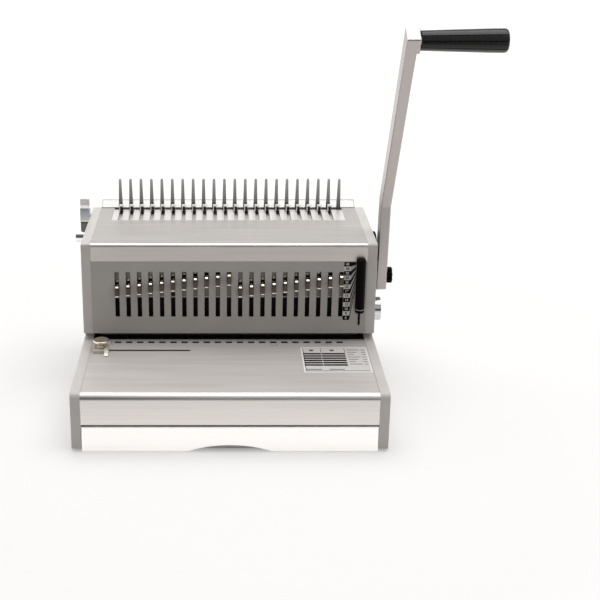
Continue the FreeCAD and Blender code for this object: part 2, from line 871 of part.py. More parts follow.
def fluted_ring(x, y, z, radius):
    """Closed wire of ridges and hollow flutes around the grip axis."""
    spread = math.asin(flute_width / 2 / grip_root_radius)

    def at(distance, angle):
        return V(x, y + distance * math.cos(angle), z + distance * math.sin(angle))

    edges = []
    for i in range(grip_flutes):
        axis = 2 * math.pi * i / grip_flutes
        after = axis + math.pi / grip_flutes
        following = axis + 2 * math.pi / grip_flutes - spread
        edges.append(Part.Arc(at(radius, axis - spread), at(radius - flute_depth, axis),
                              at(radius, axis + spread)).toShape())
        edges.append(Part.Arc(at(radius, axis + spread), at(radius, after), at(radius, following)).toShape())
    return Part.Wire(edges)


def handle_grip():
    """Fluted grip that swells towards its rounded outer end."""
    y, z = along_arm(arm_lower + arm_upper - grip_drop, 0)
    rings = [fluted_ring(boss_outer_x, y, z, grip_root_radius),
             fluted_ring(grip_outer_x, y, z, grip_swell_radius)]
    grip = Part.makeLoft(rings, True, True)
    blank = rod_along_x(grip_swell_radius + grip_round_margin, boss_outer_x, grip_outer_x, y, z)
    outer_edge = [e for e in blank.Edges if e.BoundBox.XMin > grip_outer_x - near]
    grip = grip.common(blank.makeFillet(grip_end_round, outer_edge))
    bore_end = boss_outer_x + spindle_length
    return grip.cut(rod_along_x(spindle_radius + press_gap, boss_outer_x, bore_end, y, z))


def star_knob():
    """Scalloped clamp knob on the outer face of the arm."""
    y, z = along_arm(-star_drop, 0)
    inner = arm_outer_x + slide_gap
    knob = rod_along_x(star_radius, inner, inner + star_thick, y, z)
    for i in range(star_lobes):
        angle = 2 * math.pi * i / star_lobes
        knob = knob.cut(rod_along_x(star_notch_radius, inner, inner + star_thick,
                                    y + star_radius * math.cos(angle), z + star_radius * math.sin(angle)))
    return knob.fuse(rod_along_x(star_stud_radius, arm_outer_x - star_stud_length, inner + bite, y, z))


def drawer_tray():
    floor = pan_top + slide_gap
    top = drawer_front_lift + drawer_front_height - tray_drop
    half = x_in - tray_side_gap
    front = body_front - drawer_proud + drawer_front_thick
    tray = box(-half, half, front, front + drawer_length, floor, top)
    return tray.cut(box(-half + drawer_wall, half - drawer_wall, front + drawer_wall,
                        front + drawer_length - drawer_wall, floor + drawer_wall, top))


def drawer_front():
    """Drawer front with a finger arch cut into its lower edge."""
    half = x_in - 2 * slide_gap
    y0 = body_front - drawer_proud
    low = drawer_front_lift
    front = box(-half, half, y0, y0 + drawer_front_thick, low, low + drawer_front_height)
    rim = [e for e in front.Edges if e.BoundBox.YMax < y0 + near]
    front = front.makeFillet(drawer_edge_radius, rim)

    def at(x, z):
        return V(x, y0 - bite, low + z)

    left, right = -arch_width / 2, arch_width / 2
    below = -drawer_front_lift - bite
    edges = [Part.Arc(at(left, 0), at(0, arch_height), at(right, 0)).toShape(),
             Part.makeLine(at(right, 0), at(right, below)),
             Part.makeLine(at(right, below), at(left, below)),
             Part.makeLine(at(left, below), at(left, 0))]
    arch = Part.Face(Part.Wire(edges))
    return front.cut(arch.extrude(V(0, drawer_front_thick + 2 * bite, 0)))


def edge_guide():
    """Guide block on the table with a low fence, a tongue through the slot and a foot below it."""
    x = guide_rest_x
    half = guide_size / 2
    bottom = table_top + slide_gap / 2
    top = bottom + guide_thick
    block = box(x - half, x + half, guide_y - half, guide_y + half, bottom, top)
    block = block.makeFillet(guide_edge_radius, [e for e in block.Edges if e.BoundBox.ZMin > top - near])
    front = guide_y - half - guide_fence_reach
    back = guide_y + half - guide_edge_radius
    fence = [(back, bottom), (back, top + guide_fence_rise), (guide_y - half, top + guide_fence_rise),
             (front, bottom + guide_edge_radius), (front, bottom)]
    block = block.fuse(prism_x(fence, x + half - guide_fence, x + half))
    foot_top = table_top - table_sheet - slide_gap
    tongue = guide_tongue / 2
    length = guide_tongue_length / 2
    block = block.fuse(box(x - length, x + length, guide_y - tongue, guide_y + tongue,
                           foot_top - bite, bottom + bite))
    foot = guide_foot_width / 2
    block = block.fuse(box(x - foot, x + foot, guide_y - foot, guide_y + foot,
                           foot_top - guide_foot_thick, foot_top)).removeSplitter()
    stud_end = top - thumb_stud_length - slide_gap
    return block.cut(rod_along_z(thumb_stud_radius + running_gap, stud_end, top + bite, x, guide_y))


def guide_knob():
    """Thumb knob shaped like an upturned cone, with a thin rim and a dished top."""
    bottom = table_top + slide_gap / 2 + guide_thick + slide_gap
    top = bottom + thumb_height
    x, y = guide_rest_x, guide_y
    stud_end = bottom - slide_gap - thumb_stud_length
    profile = [(0, stud_end), (thumb_stud_radius, stud_end), (thumb_stud_radius, bottom),
               (thumb_neck_radius, bottom), (thumb_neck_radius, bottom + thumb_neck_height),
               (thumb_radius, top - thumb_rim), (thumb_radius, top - thumb_chamfer),
               (thumb_radius - thumb_chamfer, top), (thumb_radius - thumb_dish_rim, top),
               (0, top - thumb_dish)]
    points = [V(x + r, y, z) for r, z in profile]
    face = Part.Face(Part.makePolygon(points + points[:1]))
    return face.revolve(V(x, y, 0), V(0, 0, 1), 360)


def size_selector():
    """Black slider, half round in front, held by a tongue and a plate behind the panel."""
    bottom = head_bottom + selector_bottom
    top = bottom + selector_height
    x = selector_x
    body = rod_along_z(selector_radius, bottom, top, x, -selector_axis_out)
    body = body.makeFillet(selector_round, body.Edges[0::2])
    body = body.cut(box(x - selector_radius, x + selector_radius, -slide_gap,
                        selector_radius, bottom - bite, top + bite))
    low = bottom + selector_tongue_low
    high = low + selector_tongue_height - selector_travel / 2
    low = low + selector_travel / 2
    half = selector_tongue / 2
    inner = sheet + slide_gap
    body = body.fuse(box(x - half, x + half, -slide_gap - bite, inner + bite, low, high))
    half = selector_plate_width / 2
    return body.fuse(box(x - half, x + half, inner, inner + selector_plate_thick, low, high)).removeSplitter()


def margin_shaft():
    end = x_out + swing_gap + margin_knob_thick - knob_end_wall
    shaft = rod_along_x(margin_shaft_radius, shaft_end_gap - x_out, end, margin_y, margin_z)
    outline = gear_outline(margin_module, margin_teeth, margin_y, margin_z, -math.pi / 2, fine_tooth_play)
    for side in (-1, 1):
        x = side * (x_in - stop_arm_inset - stop_arm_width / 2)
        shaft = shaft.fuse(prism_x(outline, x - margin_gear_width / 2, x + margin_gear_width / 2))
    return shaft.removeSplitter()


def margin_knob():
    """Smooth silver knob on the right end of the margin shaft."""
    inner = x_out + swing_gap
    outer = inner + margin_knob_thick
    knob = rod_along_x(margin_knob_radius, inner, outer, margin_y, margin_z)
    knob = knob.makeFillet(knob_edge_radius, [e for e in knob.Edges if e.BoundBox.XMin > outer - near])
    bore_end = outer - knob_end_wall
    return knob.cut(rod_along_x(margin_shaft_radius + press_gap, inner, bore_end, margin_y, margin_z))


def margin_stop():
    """Paper stop across the throat, with an arm and a short rack at each end."""
    low = table_top + slide_gap
    top = head_bottom - stop_top_gap
    end = x_in - stop_arm_inset
    back = stop_face + stop_thick
    stop = box(-end, end, stop_face, back, low, top)
    far = back + stop_arm_reach
    rack_front = margin_y - stop_rack_ahead
    teeth = rack_outline(margin_module, rack_front, far, margin_y, fine_tooth_play)
    under = margin_rack_z - stop_rack_height
    arm_low = low + stop_arm_lift
    arm_top = arm_low + stop_arm_height
    outline = [(back - bite, arm_low), (far, arm_low)]
    outline += [(y, margin_rack_z + height) for y, height in teeth[::-1]]
    outline += [(rack_front, under), (far - stop_arm_post, under),
                (far - stop_arm_post, arm_top), (back - bite, arm_top)]
    for side in (-1, 1):
        x0, x1 = sorted((side * end, side * (end - stop_arm_width)))
        stop = stop.fuse(prism_x(outline, x0, x1))
    return stop.removeSplitter()


pieces = {
    "left_side_plate": side_plate(-1),
    "right_side_plate": side_plate(1),
    "shaft_bushes": shaft_bushes(),
    "cross_members": cross_members(),
    "frame_screws": frame_screws(),
    "base_pan": base_pan(),
    "rubber_feet": rubber_feet(),
    "table_plate": table_plate(),
    "die_plate": die_plate(),
    "punch_guide": punch_guide(),
    "guide_posts": guide_posts(),
    "ram_bar": ram_bar(),
    "ram_racks": ram_racks(),
    "punches": punches(),
    "return_springs": return_springs(),
    "front_panel": front_panel(),
    "top_cover": top_cover(),
    "comb_deck": comb_deck(),
    "comb_plate": comb_plate(),
    "comb_fingers": comb_fingers(),
    "hook_carriage": hook_carriage(),
    "carriage_rods": carriage_rods(),
    "comb_hooks": comb_hooks(),
    "comb_shaft": comb_shaft(),
    "comb_lever": comb_lever(),
    "rear_cover": rear_cover(),
    "main_shaft": main_shaft(),
    "handle_hub": handle_hub(),
    "handle_arm": handle_arm(),
    "handle_grip": handle_grip(),
    "star_knob": star_knob(),
    "drawer_tray": drawer_tray(),
    "drawer_front": drawer_front(),
    "edge_guide": edge_guide(),
    "guide_knob": guide_knob(),
    "size_selector": size_selector(),
    "margin_shaft": margin_shaft(),
    "margin_knob": margin_knob(),
    "margin_stop": margin_stop(),
}
for number in range(hole_count):
    pieces[f"die_pull_{number + 1:02d}"] = die_pull(number)

for name, shape in pieces.items():
    shape.translated(V(-middle_x, -middle_y, 0)).exportStep(f"parts/{name}.step")
    solids = shape.Solids
    volume = sum(solid.Volume for solid in solids)
    print(f"{name}: {len(solids)} solids, {volume:.0f} mm3, valid {shape.isValid()}")
print(f"origin of the body's middle plane: x {-middle_x:.3f}, y {-middle_y:.3f}")
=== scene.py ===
import math

import bmesh
import bpy
from mathutils import Matrix, Vector


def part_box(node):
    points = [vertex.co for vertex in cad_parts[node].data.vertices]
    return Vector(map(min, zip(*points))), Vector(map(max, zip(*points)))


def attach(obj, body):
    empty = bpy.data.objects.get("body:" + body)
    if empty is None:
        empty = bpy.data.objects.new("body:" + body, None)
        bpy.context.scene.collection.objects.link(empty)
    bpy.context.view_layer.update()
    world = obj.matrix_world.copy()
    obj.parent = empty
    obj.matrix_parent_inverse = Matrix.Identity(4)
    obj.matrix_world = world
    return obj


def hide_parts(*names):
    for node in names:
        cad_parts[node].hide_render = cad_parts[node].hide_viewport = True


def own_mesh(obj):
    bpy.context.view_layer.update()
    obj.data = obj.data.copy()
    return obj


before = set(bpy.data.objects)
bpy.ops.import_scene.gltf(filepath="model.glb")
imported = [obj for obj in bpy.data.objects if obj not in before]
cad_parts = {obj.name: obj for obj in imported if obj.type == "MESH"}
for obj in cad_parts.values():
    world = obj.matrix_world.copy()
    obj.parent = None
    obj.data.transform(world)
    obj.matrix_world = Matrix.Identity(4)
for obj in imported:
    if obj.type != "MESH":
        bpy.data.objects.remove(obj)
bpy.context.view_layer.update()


# Side plates: two thick steel plates, each cut to an L with a notch where the paper slides in.
# They are powder coated in silver, and every shaft, bar and sheet is fixed between them.
MM = 0.001
panel_low, panel_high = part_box("front_panel")
middle_x = (panel_low.x + panel_high.x) / 2
head_front = panel_low.y


def at(x, y, z):
    """A point in millimetres from the middle plane, the front of the head and the floor."""
    return Vector((middle_x + x * MM, head_front + y * MM, z * MM))


def linear(code):
    """An sRGB hex colour in linear light."""
    channels = [int(code[i:i + 2], 16) / 255 for i in (1, 3, 5)]
    return [c / 12.92 if c <= 0.04045 else ((c + 0.055) / 1.055) ** 2.4 for c in channels] + [1.0]


def feed(tree, node, inputs):
    """Set a node's inputs, or link those that are given another node's output."""
    for socket, value in inputs.items():
        if isinstance(value, bpy.types.NodeSocket):
            tree.links.new(value, node.inputs[socket])
        else:
            node.inputs[socket].default_value = value


def add(tree, kind, inputs=None, **settings):
    """Node with its settings and its inputs."""
    node = tree.nodes.new("ShaderNode" + kind)
    for name, value in settings.items():
        setattr(node, name, value)
    feed(tree, node, inputs or {})
    return node


def start_material(name):
    material = bpy.data.materials.new(name)
    material.use_nodes = True
    tree = material.node_tree
    tree.nodes.clear()
    shader = add(tree, "BsdfPrincipled")
    add(tree, "OutputMaterial", {"Surface": shader.outputs["BSDF"]})
    return material, tree, shader


def grain(tree, cells_mm, detail):
    """Cloudy pattern on Object coordinates whose cells are cells_mm long in X, Y and Z."""
    place = add(tree, "TexCoord").outputs["Object"]
    scale = [1 / (c * MM) for c in cells_mm]
    mapped = add(tree, "Mapping", {"Vector": place, "Scale": scale}).outputs["Vector"]
    noise = add(tree, "TexNoise", {"Vector": mapped, "Scale": 1.0, "Detail": detail}).outputs["Fac"]
    return add(tree, "MapRange", {"Value": noise, "From Min": 0.3, "From Max": 0.7}).outputs["Result"]


def surface(name, dark, light, rough, cells_mm, detail, sockets, relief=()):
    """Material whose colour and roughness follow one pattern.

    relief is a depth in mm and a strength, with cells and detail where it has a pattern of its own.
    """
    material, tree, shader = start_material(name)
    pattern = grain(tree, cells_mm, detail)
    colour = add(tree, "Mix", {"Factor": pattern, "A": linear(dark), "B": linear(light)}, data_type="RGBA")
    spread = add(tree, "MapRange", {"Value": pattern, "To Min": rough[0], "To Max": rough[1]})
    feed(tree, shader, {"Base Color": colour.outputs["Result"], "Roughness": spread.outputs["Result"]})
    feed(tree, shader, sockets)
    if relief:
        depth_mm, strength, *own_pattern = relief
        height = grain(tree, *own_pattern) if own_pattern else pattern
        bump = add(tree, "Bump", {"Height": height, "Distance": depth_mm * MM, "Strength": strength})
        feed(tree, shader, {"Normal": bump.outputs["Normal"]})
    return material


def powder_coat(name, dark, light, rough):
    """Satin polyester coat, baked on. Orange peel of 2 mm breaks up its sheen, over a faint mottling."""
    return surface(name, dark, light, (rough - 0.04, rough + 0.04), (40, 40, 40), 3.0,
                   {"Coat Weight": 0.25, "Coat Roughness": 0.3}, (0.05, 0.25, (2, 2, 2), 2.0))


def piece(bm, name, body, materials, stands_for=(), crease=35):
    """Object from a finished bmesh, which rides on a body. Edges sharper than crease degrees stay sharp."""
    bmesh.ops.recalc_face_normals(bm, faces=bm.faces)
    mesh = bpy.data.meshes.new(name)
    bm.to_mesh(mesh)
    bm.free()
    # A copied solid brings its own normals, which no longer fit its rounded edges.
    if "custom_normal" in mesh.attributes:
        mesh.attributes.remove(mesh.attributes["custom_normal"])
    for used in materials:
        mesh.materials.append(used)
    mesh.shade_smooth()
    mesh.set_sharp_from_angle(angle=math.radians(crease))
    made = bpy.data.objects.new(name, mesh)
    bpy.context.scene.collection.objects.link(made)
    made.modifiers.new("even_faces", "WEIGHTED_NORMAL").keep_sharp = True
    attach(made, body)
    if stands_for:
        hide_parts(*stands_for)
    return made


MERGE, TINY = 2e-6, 1e-6
FLAT_ANGLE, SHARP_ANGLE = math.radians(1), math.radians(40)


def merged_copy(node):
    bm = bmesh.new()
    bm.from_mesh(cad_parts[node].data)
    bmesh.ops.remove_doubles(bm, verts=bm.verts, dist=MERGE)
    return bm


def rounded(bm, edges, width_mm, segments):
    bmesh.ops.bevel(bm, geom=edges, offset=width_mm * MM, offset_type="OFFSET", affect="EDGES",
                    segments=segments, profile=0.5, material=-1, clamp_overlap=True)


def eased(node, width_mm, segments=2, shortest_mm=0):
    """Copy of a solid's mesh with its sharp edges rounded, from shortest_mm long up."""
    bm = merged_copy(node)
    bmesh.ops.dissolve_limit(bm, angle_limit=FLAT_ANGLE, verts=bm.verts, edges=bm.edges)
    sharp = [e for e in bm.edges if e.is_manifold and e.calc_face_angle(0) > SHARP_ANGLE
             and e.calc_length() >= shortest_mm * MM]
    rounded(bm, sharp, width_mm, segments)
    return bm


silver_coat = powder_coat("silver_powder_coat", "#c6c1bd", "#cdc8c4", 0.42)
for side in ("left", "right"):
    plate = eased(f"{side}_side_plate", width_mm=0.4)
    piece(plate, f"{side}_plate", "frame", [silver_coat], [f"{side}_side_plate"])


# Frame members: round tie bars and a flat bar between the plates, of ground bright steel, with
# sintered bronze bushes pressed into the plates for the three shafts.
def ground_steel(name, dark, light, rough):
    """Steel ground along X, which blurs its reflections across the marks.

    The marks are drawn 1.5 mm wide, because real ones are too fine to show.
    """
    return surface(name, dark, light, (rough - 0.06, rough + 0.06), (30, 1.5, 1.5), 4.0, {"Metallic": 1.0},
                   (0.03, 0.2))


def dress(material, *nodes):
    """Give the material to CAD nodes that stay as they are."""
    for node in nodes:
        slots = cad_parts[node].data.materials
        slots.clear()
        slots.append(material)


bright_steel = ground_steel("ground_bright_steel", "#8e8b88", "#a5a29e", 0.34)
dress(bright_steel, "cross_members", "main_shaft", "comb_shaft", "margin_shaft", "margin_stop")

# The bronze looks grainy. Its pores are drawn 0.6 mm wide, because real ones are too fine to show.
bronze = surface("sintered_bronze", "#8f6e3c", "#b08d56", (0.38, 0.55), (0.6, 0.6, 0.6), 3.0,
                 {"Metallic": 1.0}, (0.05, 0.3))
dress(bronze, "shaft_bushes")


# Frame screws: socket-head screws, black oxide finish, sunk in the plates so that the heads are
# flush. Each holds one end of a tie bar.
def moulded(name, dark, light, rough, cells_mm, bump, sheen=0.3):
    """Dull surface with an even texture, as a mould, an ink or a blackening bath leaves it.

    The texture is drawn from 1.2 mm wide up, because the real one is too fine to show.
    """
    return surface(name, dark, light, (rough - 0.08, rough + 0.08), cells_mm, 3.0,
                   {"Specular IOR Level": sheen}, (0.08, bump))


def placed(point, degrees, axis):
    return Matrix.Translation(point) @ Matrix.Rotation(math.radians(degrees), 4, axis)


HEAD_EASING = 0.08


def socket_screw(bm, place, head_radius, head_depth, shank):
    """Screw with its head towards +Z, head face at z 0, moved by place."""
    before = set(bm.verts)
    rim = bmesh.ops.create_circle(bm, segments=24, radius=head_radius * MM)["verts"]
    socket = bmesh.ops.create_circle(bm, segments=6, radius=head_radius * MM / 2)["verts"]
    rim_edges = list({e for v in rim for e in v.link_edges})
    socket_edges = list({e for v in socket for e in v.link_edges})
    bmesh.ops.bridge_loops(bm, edges=rim_edges + socket_edges)
    for edges, deep in ((socket_edges, head_depth / 2), (rim_edges, head_depth)):
        grown = bmesh.ops.extrude_edge_only(bm, edges=edges)["geom"]
        moved = [g for g in grown if isinstance(g, bmesh.types.BMVert)]
        bmesh.ops.translate(bm, verts=moved, vec=(0, 0, -deep * MM))
        bmesh.ops.contextual_create(bm, geom=[g for g in grown if isinstance(g, bmesh.types.BMEdge)])
    rounded(bm, rim_edges, HEAD_EASING * head_radius, 2)
    down = Matrix.Translation((0, 0, -(head_depth + shank / 2) * MM))
    bmesh.ops.create_cone(bm, cap_ends=True, segments=20, radius1=head_radius * MM / 2,
                          radius2=head_radius * MM / 2, depth=shank * MM, matrix=down)
    bmesh.ops.transform(bm, matrix=place, verts=[v for v in bm.verts if v not in before])


# The oxide is a dull, slightly warm black that still shows the head's rounded rim.
black_oxide = moulded("black_oxide_steel", "#141312", "#24211f", 0.4, (1.5, 1.5, 1.5), 0.15)
SCREW_SPOTS = ((-90, 52), (80, 60), (140, 90))
SCREW_HEAD, SCREW_HEAD_DEEP, SCREW_SHANK = 4.5, 5.0, 17.0
outer_face = (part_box("right_side_plate")[1].x - middle_x) / MM
screws = bmesh.new()
for side in (-1, 1):
    for y, z in SCREW_SPOTS:
        place = placed(at(side * outer_face, y, z), 90 * side, "Y")
        socket_screw(screws, place, SCREW_HEAD, SCREW_HEAD_DEEP, SCREW_SHANK)
piece(screws, "frame_screw_set", "frame", [black_oxide], ["frame_screws"])


# Base: a floor pan between the plates, coated in a duller and darker grey than they are, and four
# feet of matt black moulded rubber with a shallow hollow below that grips the table.
pan_coat = powder_coat("grey_pan_coat", "#a5a29f", "#b0adaa", 0.55)
dress(pan_coat, "base_pan")
rubber_and_seam_shade = moulded("moulded_rubber_and_seam_shade", "#0d0d0d", "#191817", 0.75, (1.2, 1.2, 1.2), 0.4)
FOOT_XS, FOOT_YS = (-153.5, 153.5), (-143, 144)
foot_profile = [(0, 2.99), (6.6, 2.99), (7.4, 2.8), (8.0, 2.2), (8.0, 0.7), (7.6, 0.15), (7.0, 0.0),
                (5.2, 0.0), (4.6, 0.5), (0, 0.6)]


def turned(bm, profile, centre, axis, steps=48):
    """Spin a profile of (radius, height) points once round an axis through a centre."""
    up = Vector(axis)
    out = up.orthogonal().normalized()
    verts = [bm.verts.new(centre + out * (r * MM) + up * (h * MM)) for r, h in profile]
    edges = [bm.edges.new(pair) for pair in zip(verts, verts[1:])]
    bmesh.ops.spin(bm, geom=verts + edges, cent=centre, axis=up, angle=2 * math.pi, steps=steps,
                   use_merge=True)
    bmesh.ops.remove_doubles(bm, verts=bm.verts, dist=TINY)


feet = bmesh.new()
for x in FOOT_XS:
    for y in FOOT_YS:
        turned(feet, foot_profile, at(x, y, 0), (0, 0, 1))
piece(feet, "rubber_foot_set", "frame", [rubber_and_seam_shade], ["rubber_feet"])


# Table: one sheet of aluminium, brushed from side to side, rolled over at the front and carried
# down as a band. Its front-facing faces get a lighter, fully metallic copy of the finish and its top
# a darker, less metallic one, painted light that makes the band brighter than the top.
def brushed(name, dark, light, rough, cells_mm, metallic):
    """Metal brushed along its longest cells, which draws out its reflections across them.

    The streaks are drawn 4 to 6 mm wide, with finer hairlines, because real ones are too fine to show.
    """
    hairline = (cells_mm[0] / 2, cells_mm[1] / 6, cells_mm[2] / 6)
    return surface(name, dark, light, (rough - 0.05, rough + 0.05), cells_mm, 4.0, {"Metallic": metallic},
                   (0.03, 0.15, hairline, 3.0))


table_metal = brushed("table_aluminium_top", "#c2bdb9", "#cec9c5", 0.42, (120, 5, 5), 0.15)
front_painted_bright = brushed("table_aluminium_painted_bright_front", "#c8c3c0", "#d5d0cd", 0.36, (160, 5, 5), 1.0)
FRONT_FACING = -0.2
table = merged_copy("table_plate")
# Faces turned to the front take the lighter, fully metallic copy: painted light.
for face in table.faces:
    face.material_index = 1 if face.normal.y < FRONT_FACING else 0
piece(table, "rolled_table", "frame", [table_metal, front_painted_bright], ["table_plate"])


# Print on the table: short black dashes where the holes will be, fine setting marks beside them
# and a pale film with a plain chart, all thinner than paper. The inks are flat and dull, and the
# film is a little smoother.
ink = moulded("black_screen_ink", "#0b0808", "#130f0e", 0.5, (4, 4, 4), 0.05, 0.06)
film = moulded("pale_label_film", "#d0cdca", "#d7d4d1", 0.45, (12, 12, 12), 0.03)
white_ink = moulded("white_screen_ink", "#e9e7e5", "#f1efed", 0.5, (4, 4, 4), 0.05)
grey_ink = moulded("grey_screen_ink", "#5d5754", "#6a6461", 0.5, (4, 4, 4), 0.05, 0.15)
TABLE_TOP, INK = 73.0, 0.04
PITCH, HOLES = 14.2875, 21
hole_xs = [(i - (HOLES - 1) / 2) * PITCH for i in range(HOLES)]


def block(bm, low, high):
    """Box between two corner points."""
    middle = (low + high) / 2
    size = high - low
    bmesh.ops.create_cube(bm, size=1.0, matrix=Matrix.Translation(middle) @ Matrix.Diagonal((*size, 1.0)))


def printed(bm, x0, x1, y0, y1, base):
    block(bm, at(x0, y0, base), at(x1, y1, base + INK))


DASH_HALF, DASH_FRONT, DASH_BACK = 4.1, -8.7, -3.7
END_MARK = (-151.4, -150.6, -9.5, -2.5)
dashes = bmesh.new()
for x in hole_xs:
    printed(dashes, x - DASH_HALF, x + DASH_HALF, DASH_FRONT, DASH_BACK, TABLE_TOP)
printed(dashes, *END_MARK, TABLE_TOP)
piece(dashes, "hole_dashes", "frame", [ink])

TICK_XS = (-154, -151.5, -149, 119, 123, 127, 131)
TICK_HALF, TICK_FRONT, TICK_BACK = 0.3, -15, -11
SETTING_LINES = ((52, 62, -17.0, -16.3), (61.4, 62, -16.3, -11.5), (119, 131, -11.3, -10.7))
ticks = bmesh.new()
for x in TICK_XS:
    printed(ticks, x - TICK_HALF, x + TICK_HALF, TICK_FRONT, TICK_BACK, TABLE_TOP)
for line in SETTING_LINES:
    printed(ticks, *line, TABLE_TOP)
piece(ticks, "setting_marks", "frame", [grey_ink])

CHART = (91.0, 174.6, -101.0, -23.0)
left, right, front, back = CHART
over = TABLE_TOP + INK
label = bmesh.new()
printed(label, *CHART, TABLE_TOP)
piece(label, "chart_film", "frame", [film])

RIM = 1.6
border = bmesh.new()
for y in (front, back - RIM):
    printed(border, left, right, y, y + RIM, over)
for x in (left, right - RIM):
    printed(border, x, x + RIM, front + RIM, back - RIM, over)
piece(border, "chart_border", "frame", [white_ink])

GAP, RULE_HALF, RULE_INSET, RULE_FOOT, HEAD_DEEP = 3.0, 0.3, 2.7, 4.0, 17.0
BARS, BAR_TOP, BAR_STEP, BAR_DEEP, BAR_INSET = 6, 18.5, 7.0, 4.6, 2.0
SPLIT, COLUMN = 25.0, 55.0
split, column = left + SPLIT, left + COLUMN
bars = bmesh.new()
for i in range(BARS):
    y = back - BAR_TOP - BAR_STEP * i
    printed(bars, left + BAR_INSET, split - RULE_HALF, y - BAR_DEEP, y, over)
    printed(bars, split + RULE_HALF, column, y - BAR_DEEP, y, over)
rules = ((left + RULE_INSET, front + RULE_FOOT), (split, back - HEAD_DEEP), (column, back - HEAD_DEEP))
for x, foot in rules:
    printed(bars, x - RULE_HALF, x + RULE_HALF, foot, back - GAP, over)
piece(bars, "chart_bars", "frame", [ink])

ROWS, ROW_TOP, ROW_STEP, ROW_DEEP = 7, 8.0, 7.4, 1.6
WORD_END, WORD_RAG, VALUE_START = 10, 4, 8
NOTE_STEP, NOTES, FOOT_LINE = 28, (8, 10), (4, 5.4)
lines = bmesh.new()
for i in range(ROWS):
    y = back - ROW_TOP - ROW_STEP * i
    printed(lines, column + GAP, right - WORD_END - WORD_RAG * (i % 3), y - ROW_DEEP, y, over)
    printed(lines, right - VALUE_START, right - GAP, y - ROW_DEEP, y, over)
for shift in (0, NOTE_STEP):
    printed(lines, left + GAP + shift, split - GAP + shift, front + NOTES[0], front + NOTES[1], over)
printed(lines, left + GAP, right - GAP, front + FOOT_LINE[0], front + FOOT_LINE[1], over)
piece(lines, "chart_lines", "frame", [grey_ink])

DOT_RADIUS, DOT_DROP, DOT_INSETS = 3, 10, (13, 39)
dots = bmesh.new()
for inset in DOT_INSETS:
    spot = Matrix.Translation(at(left + inset, back - DOT_DROP, over + INK / 2))
    bmesh.ops.create_cone(dots, cap_ends=True, segments=24, radius1=DOT_RADIUS * MM, radius2=DOT_RADIUS * MM,
                          depth=INK * MM, matrix=spot)
piece(dots, "chart_dots", "frame", [grey_ink])


# Die, guide bar, posts and ram: tool steel inside the head. The ram is ground and the posts are
# chromed. The die, the guide bar and the punches are coloured near black, painted shade, so that the
# throat and the lower windows look dark.
def plated(name, dark, light, rough, cloud_mm):
    """Bright plating with faint clouds, which spread its reflections unevenly."""
    return surface(name, dark, light, rough, (cloud_mm, cloud_mm, cloud_mm), 3.0, {"Metallic": 1.0})


tool_steel_and_neck_shade = ground_steel("ground_tool_steel_and_neck_shade", "#6f6c69", "#7d7a77", 0.4)
dress(tool_steel_and_neck_shade, "ram_bar", "ram_racks")
chrome = plated("polished_chrome", "#c9c6c2", "#d9d6d2", (0.1, 0.2), 14)
dress(chrome, "guide_posts", "carriage_rods")
# Near black, painted shade, for the die, the guide bar, the punches and the ram's slots.
shade_black = moulded("near_black_painted_shade", "#080808", "#100f0f", 0.6, (2, 2, 2), 0.1)
dress(shade_black, "punches", "die_plate", "punch_guide")


# Return springs: one coil of round spring wire, darker than the posts, on each guide post between
# the guide bar and the ram.
spring_wire = ground_steel("spring_wire", "#57534f", "#6b6763", 0.35)
RAM_BOTTOM, GUIDE_TOP, STROKE = 131.4, 99.0, 24.1
SPRING_XS, SPRING_Y, SEAT_GAP = (-163.0, 163.0), 14, 0.1
WIRE, COIL_RADIUS, TURNS, STEPS_PER_TURN = 1.6, 6.8, 5, 24
rise = (RAM_BOTTOM - GUIDE_TOP - WIRE - 2 * SEAT_GAP) / (TURNS * STEPS_PER_TURN)
coils = bmesh.new()
for x in SPRING_XS:
    centre = at(x, SPRING_Y, GUIDE_TOP + SEAT_GAP + WIRE / 2)
    rim = bmesh.ops.create_circle(coils, cap_ends=True, segments=10, radius=WIRE / 2 * MM,
                                  matrix=placed(centre + Vector((COIL_RADIUS * MM, 0, 0)), 90, "X"))["verts"]
    rim_edges = list({e for v in rim for e in v.link_edges})
    disc = list({f for v in rim for f in v.link_faces})
    bmesh.ops.spin(coils, geom=list(rim) + rim_edges + disc, cent=centre, axis=(0, 0, 1),
                   dvec=(0, 0, rise * MM), angle=2 * math.pi * TURNS, steps=TURNS * STEPS_PER_TURN)
coil_pair = piece(coils, "return_coil_pair", "frame", [spring_wire], ["return_springs"])
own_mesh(coil_pair)


# Front panel: a grey painted sheet with one window for each punch and the slot of the selector.
# Its cut edges are eased, so a fine bright line runs round them.
panel_coat = powder_coat("grey_panel_coat", "#aca8a4", "#b2aeaa", 0.48)
panel = eased("front_panel", width_mm=0.25)
piece(panel, "window_panel", "frame", [panel_coat], ["front_panel"])


# Die pulls: a nickel-plated pull stands in each window and carries the pin of its punch. Its top
# slopes; its up-facing faces, on the top and on a lip along the bottom, are bright nickel, a painted
# highlight, and its front and sides are a dark copy of the nickel, painted shade.
warm_nickel_and_pull_highlight = plated("warm_nickel_plate_and_pull_highlight", "#e6dcc8", "#f2ead9", (0.06, 0.16), 4)
pull_painted_shade = plated("pull_nickel_painted_shade", "#4b4540", "#615852", (0.25, 0.4), 3)
PULL_WIDTH, PULL_HEIGHT, PULL_BOTTOM, PULL_STEP, STAIR = 4.6, 15.0, 133.8, 1.6, 11
TOP_EDGES, FOOT_EDGES = (9.9, 20.0, 0.6), (-1.0, 9.0, 0.3)
PIN_Y, PIN_RADIUS, PIN_LENGTH = 11, 1.5, 11
HIGHLIGHT_UP, HIGHLIGHT_ASIDE = 0.35, 0.1
pull_side = [(5.5, 1.5), (-5.3, 1.5), (-5.3, 0), (-6.5, 0), (-6.5, 1.0), (-5.7, 2.0), (-5.7, 10.4),
             (-5.0, 12.3), (-3.6, 13.8), (-1.6, PULL_HEIGHT), (5.5, PULL_HEIGHT)]
pull_zs = [PULL_BOTTOM + PULL_STEP * (i % STAIR) for i in range(HOLES)]


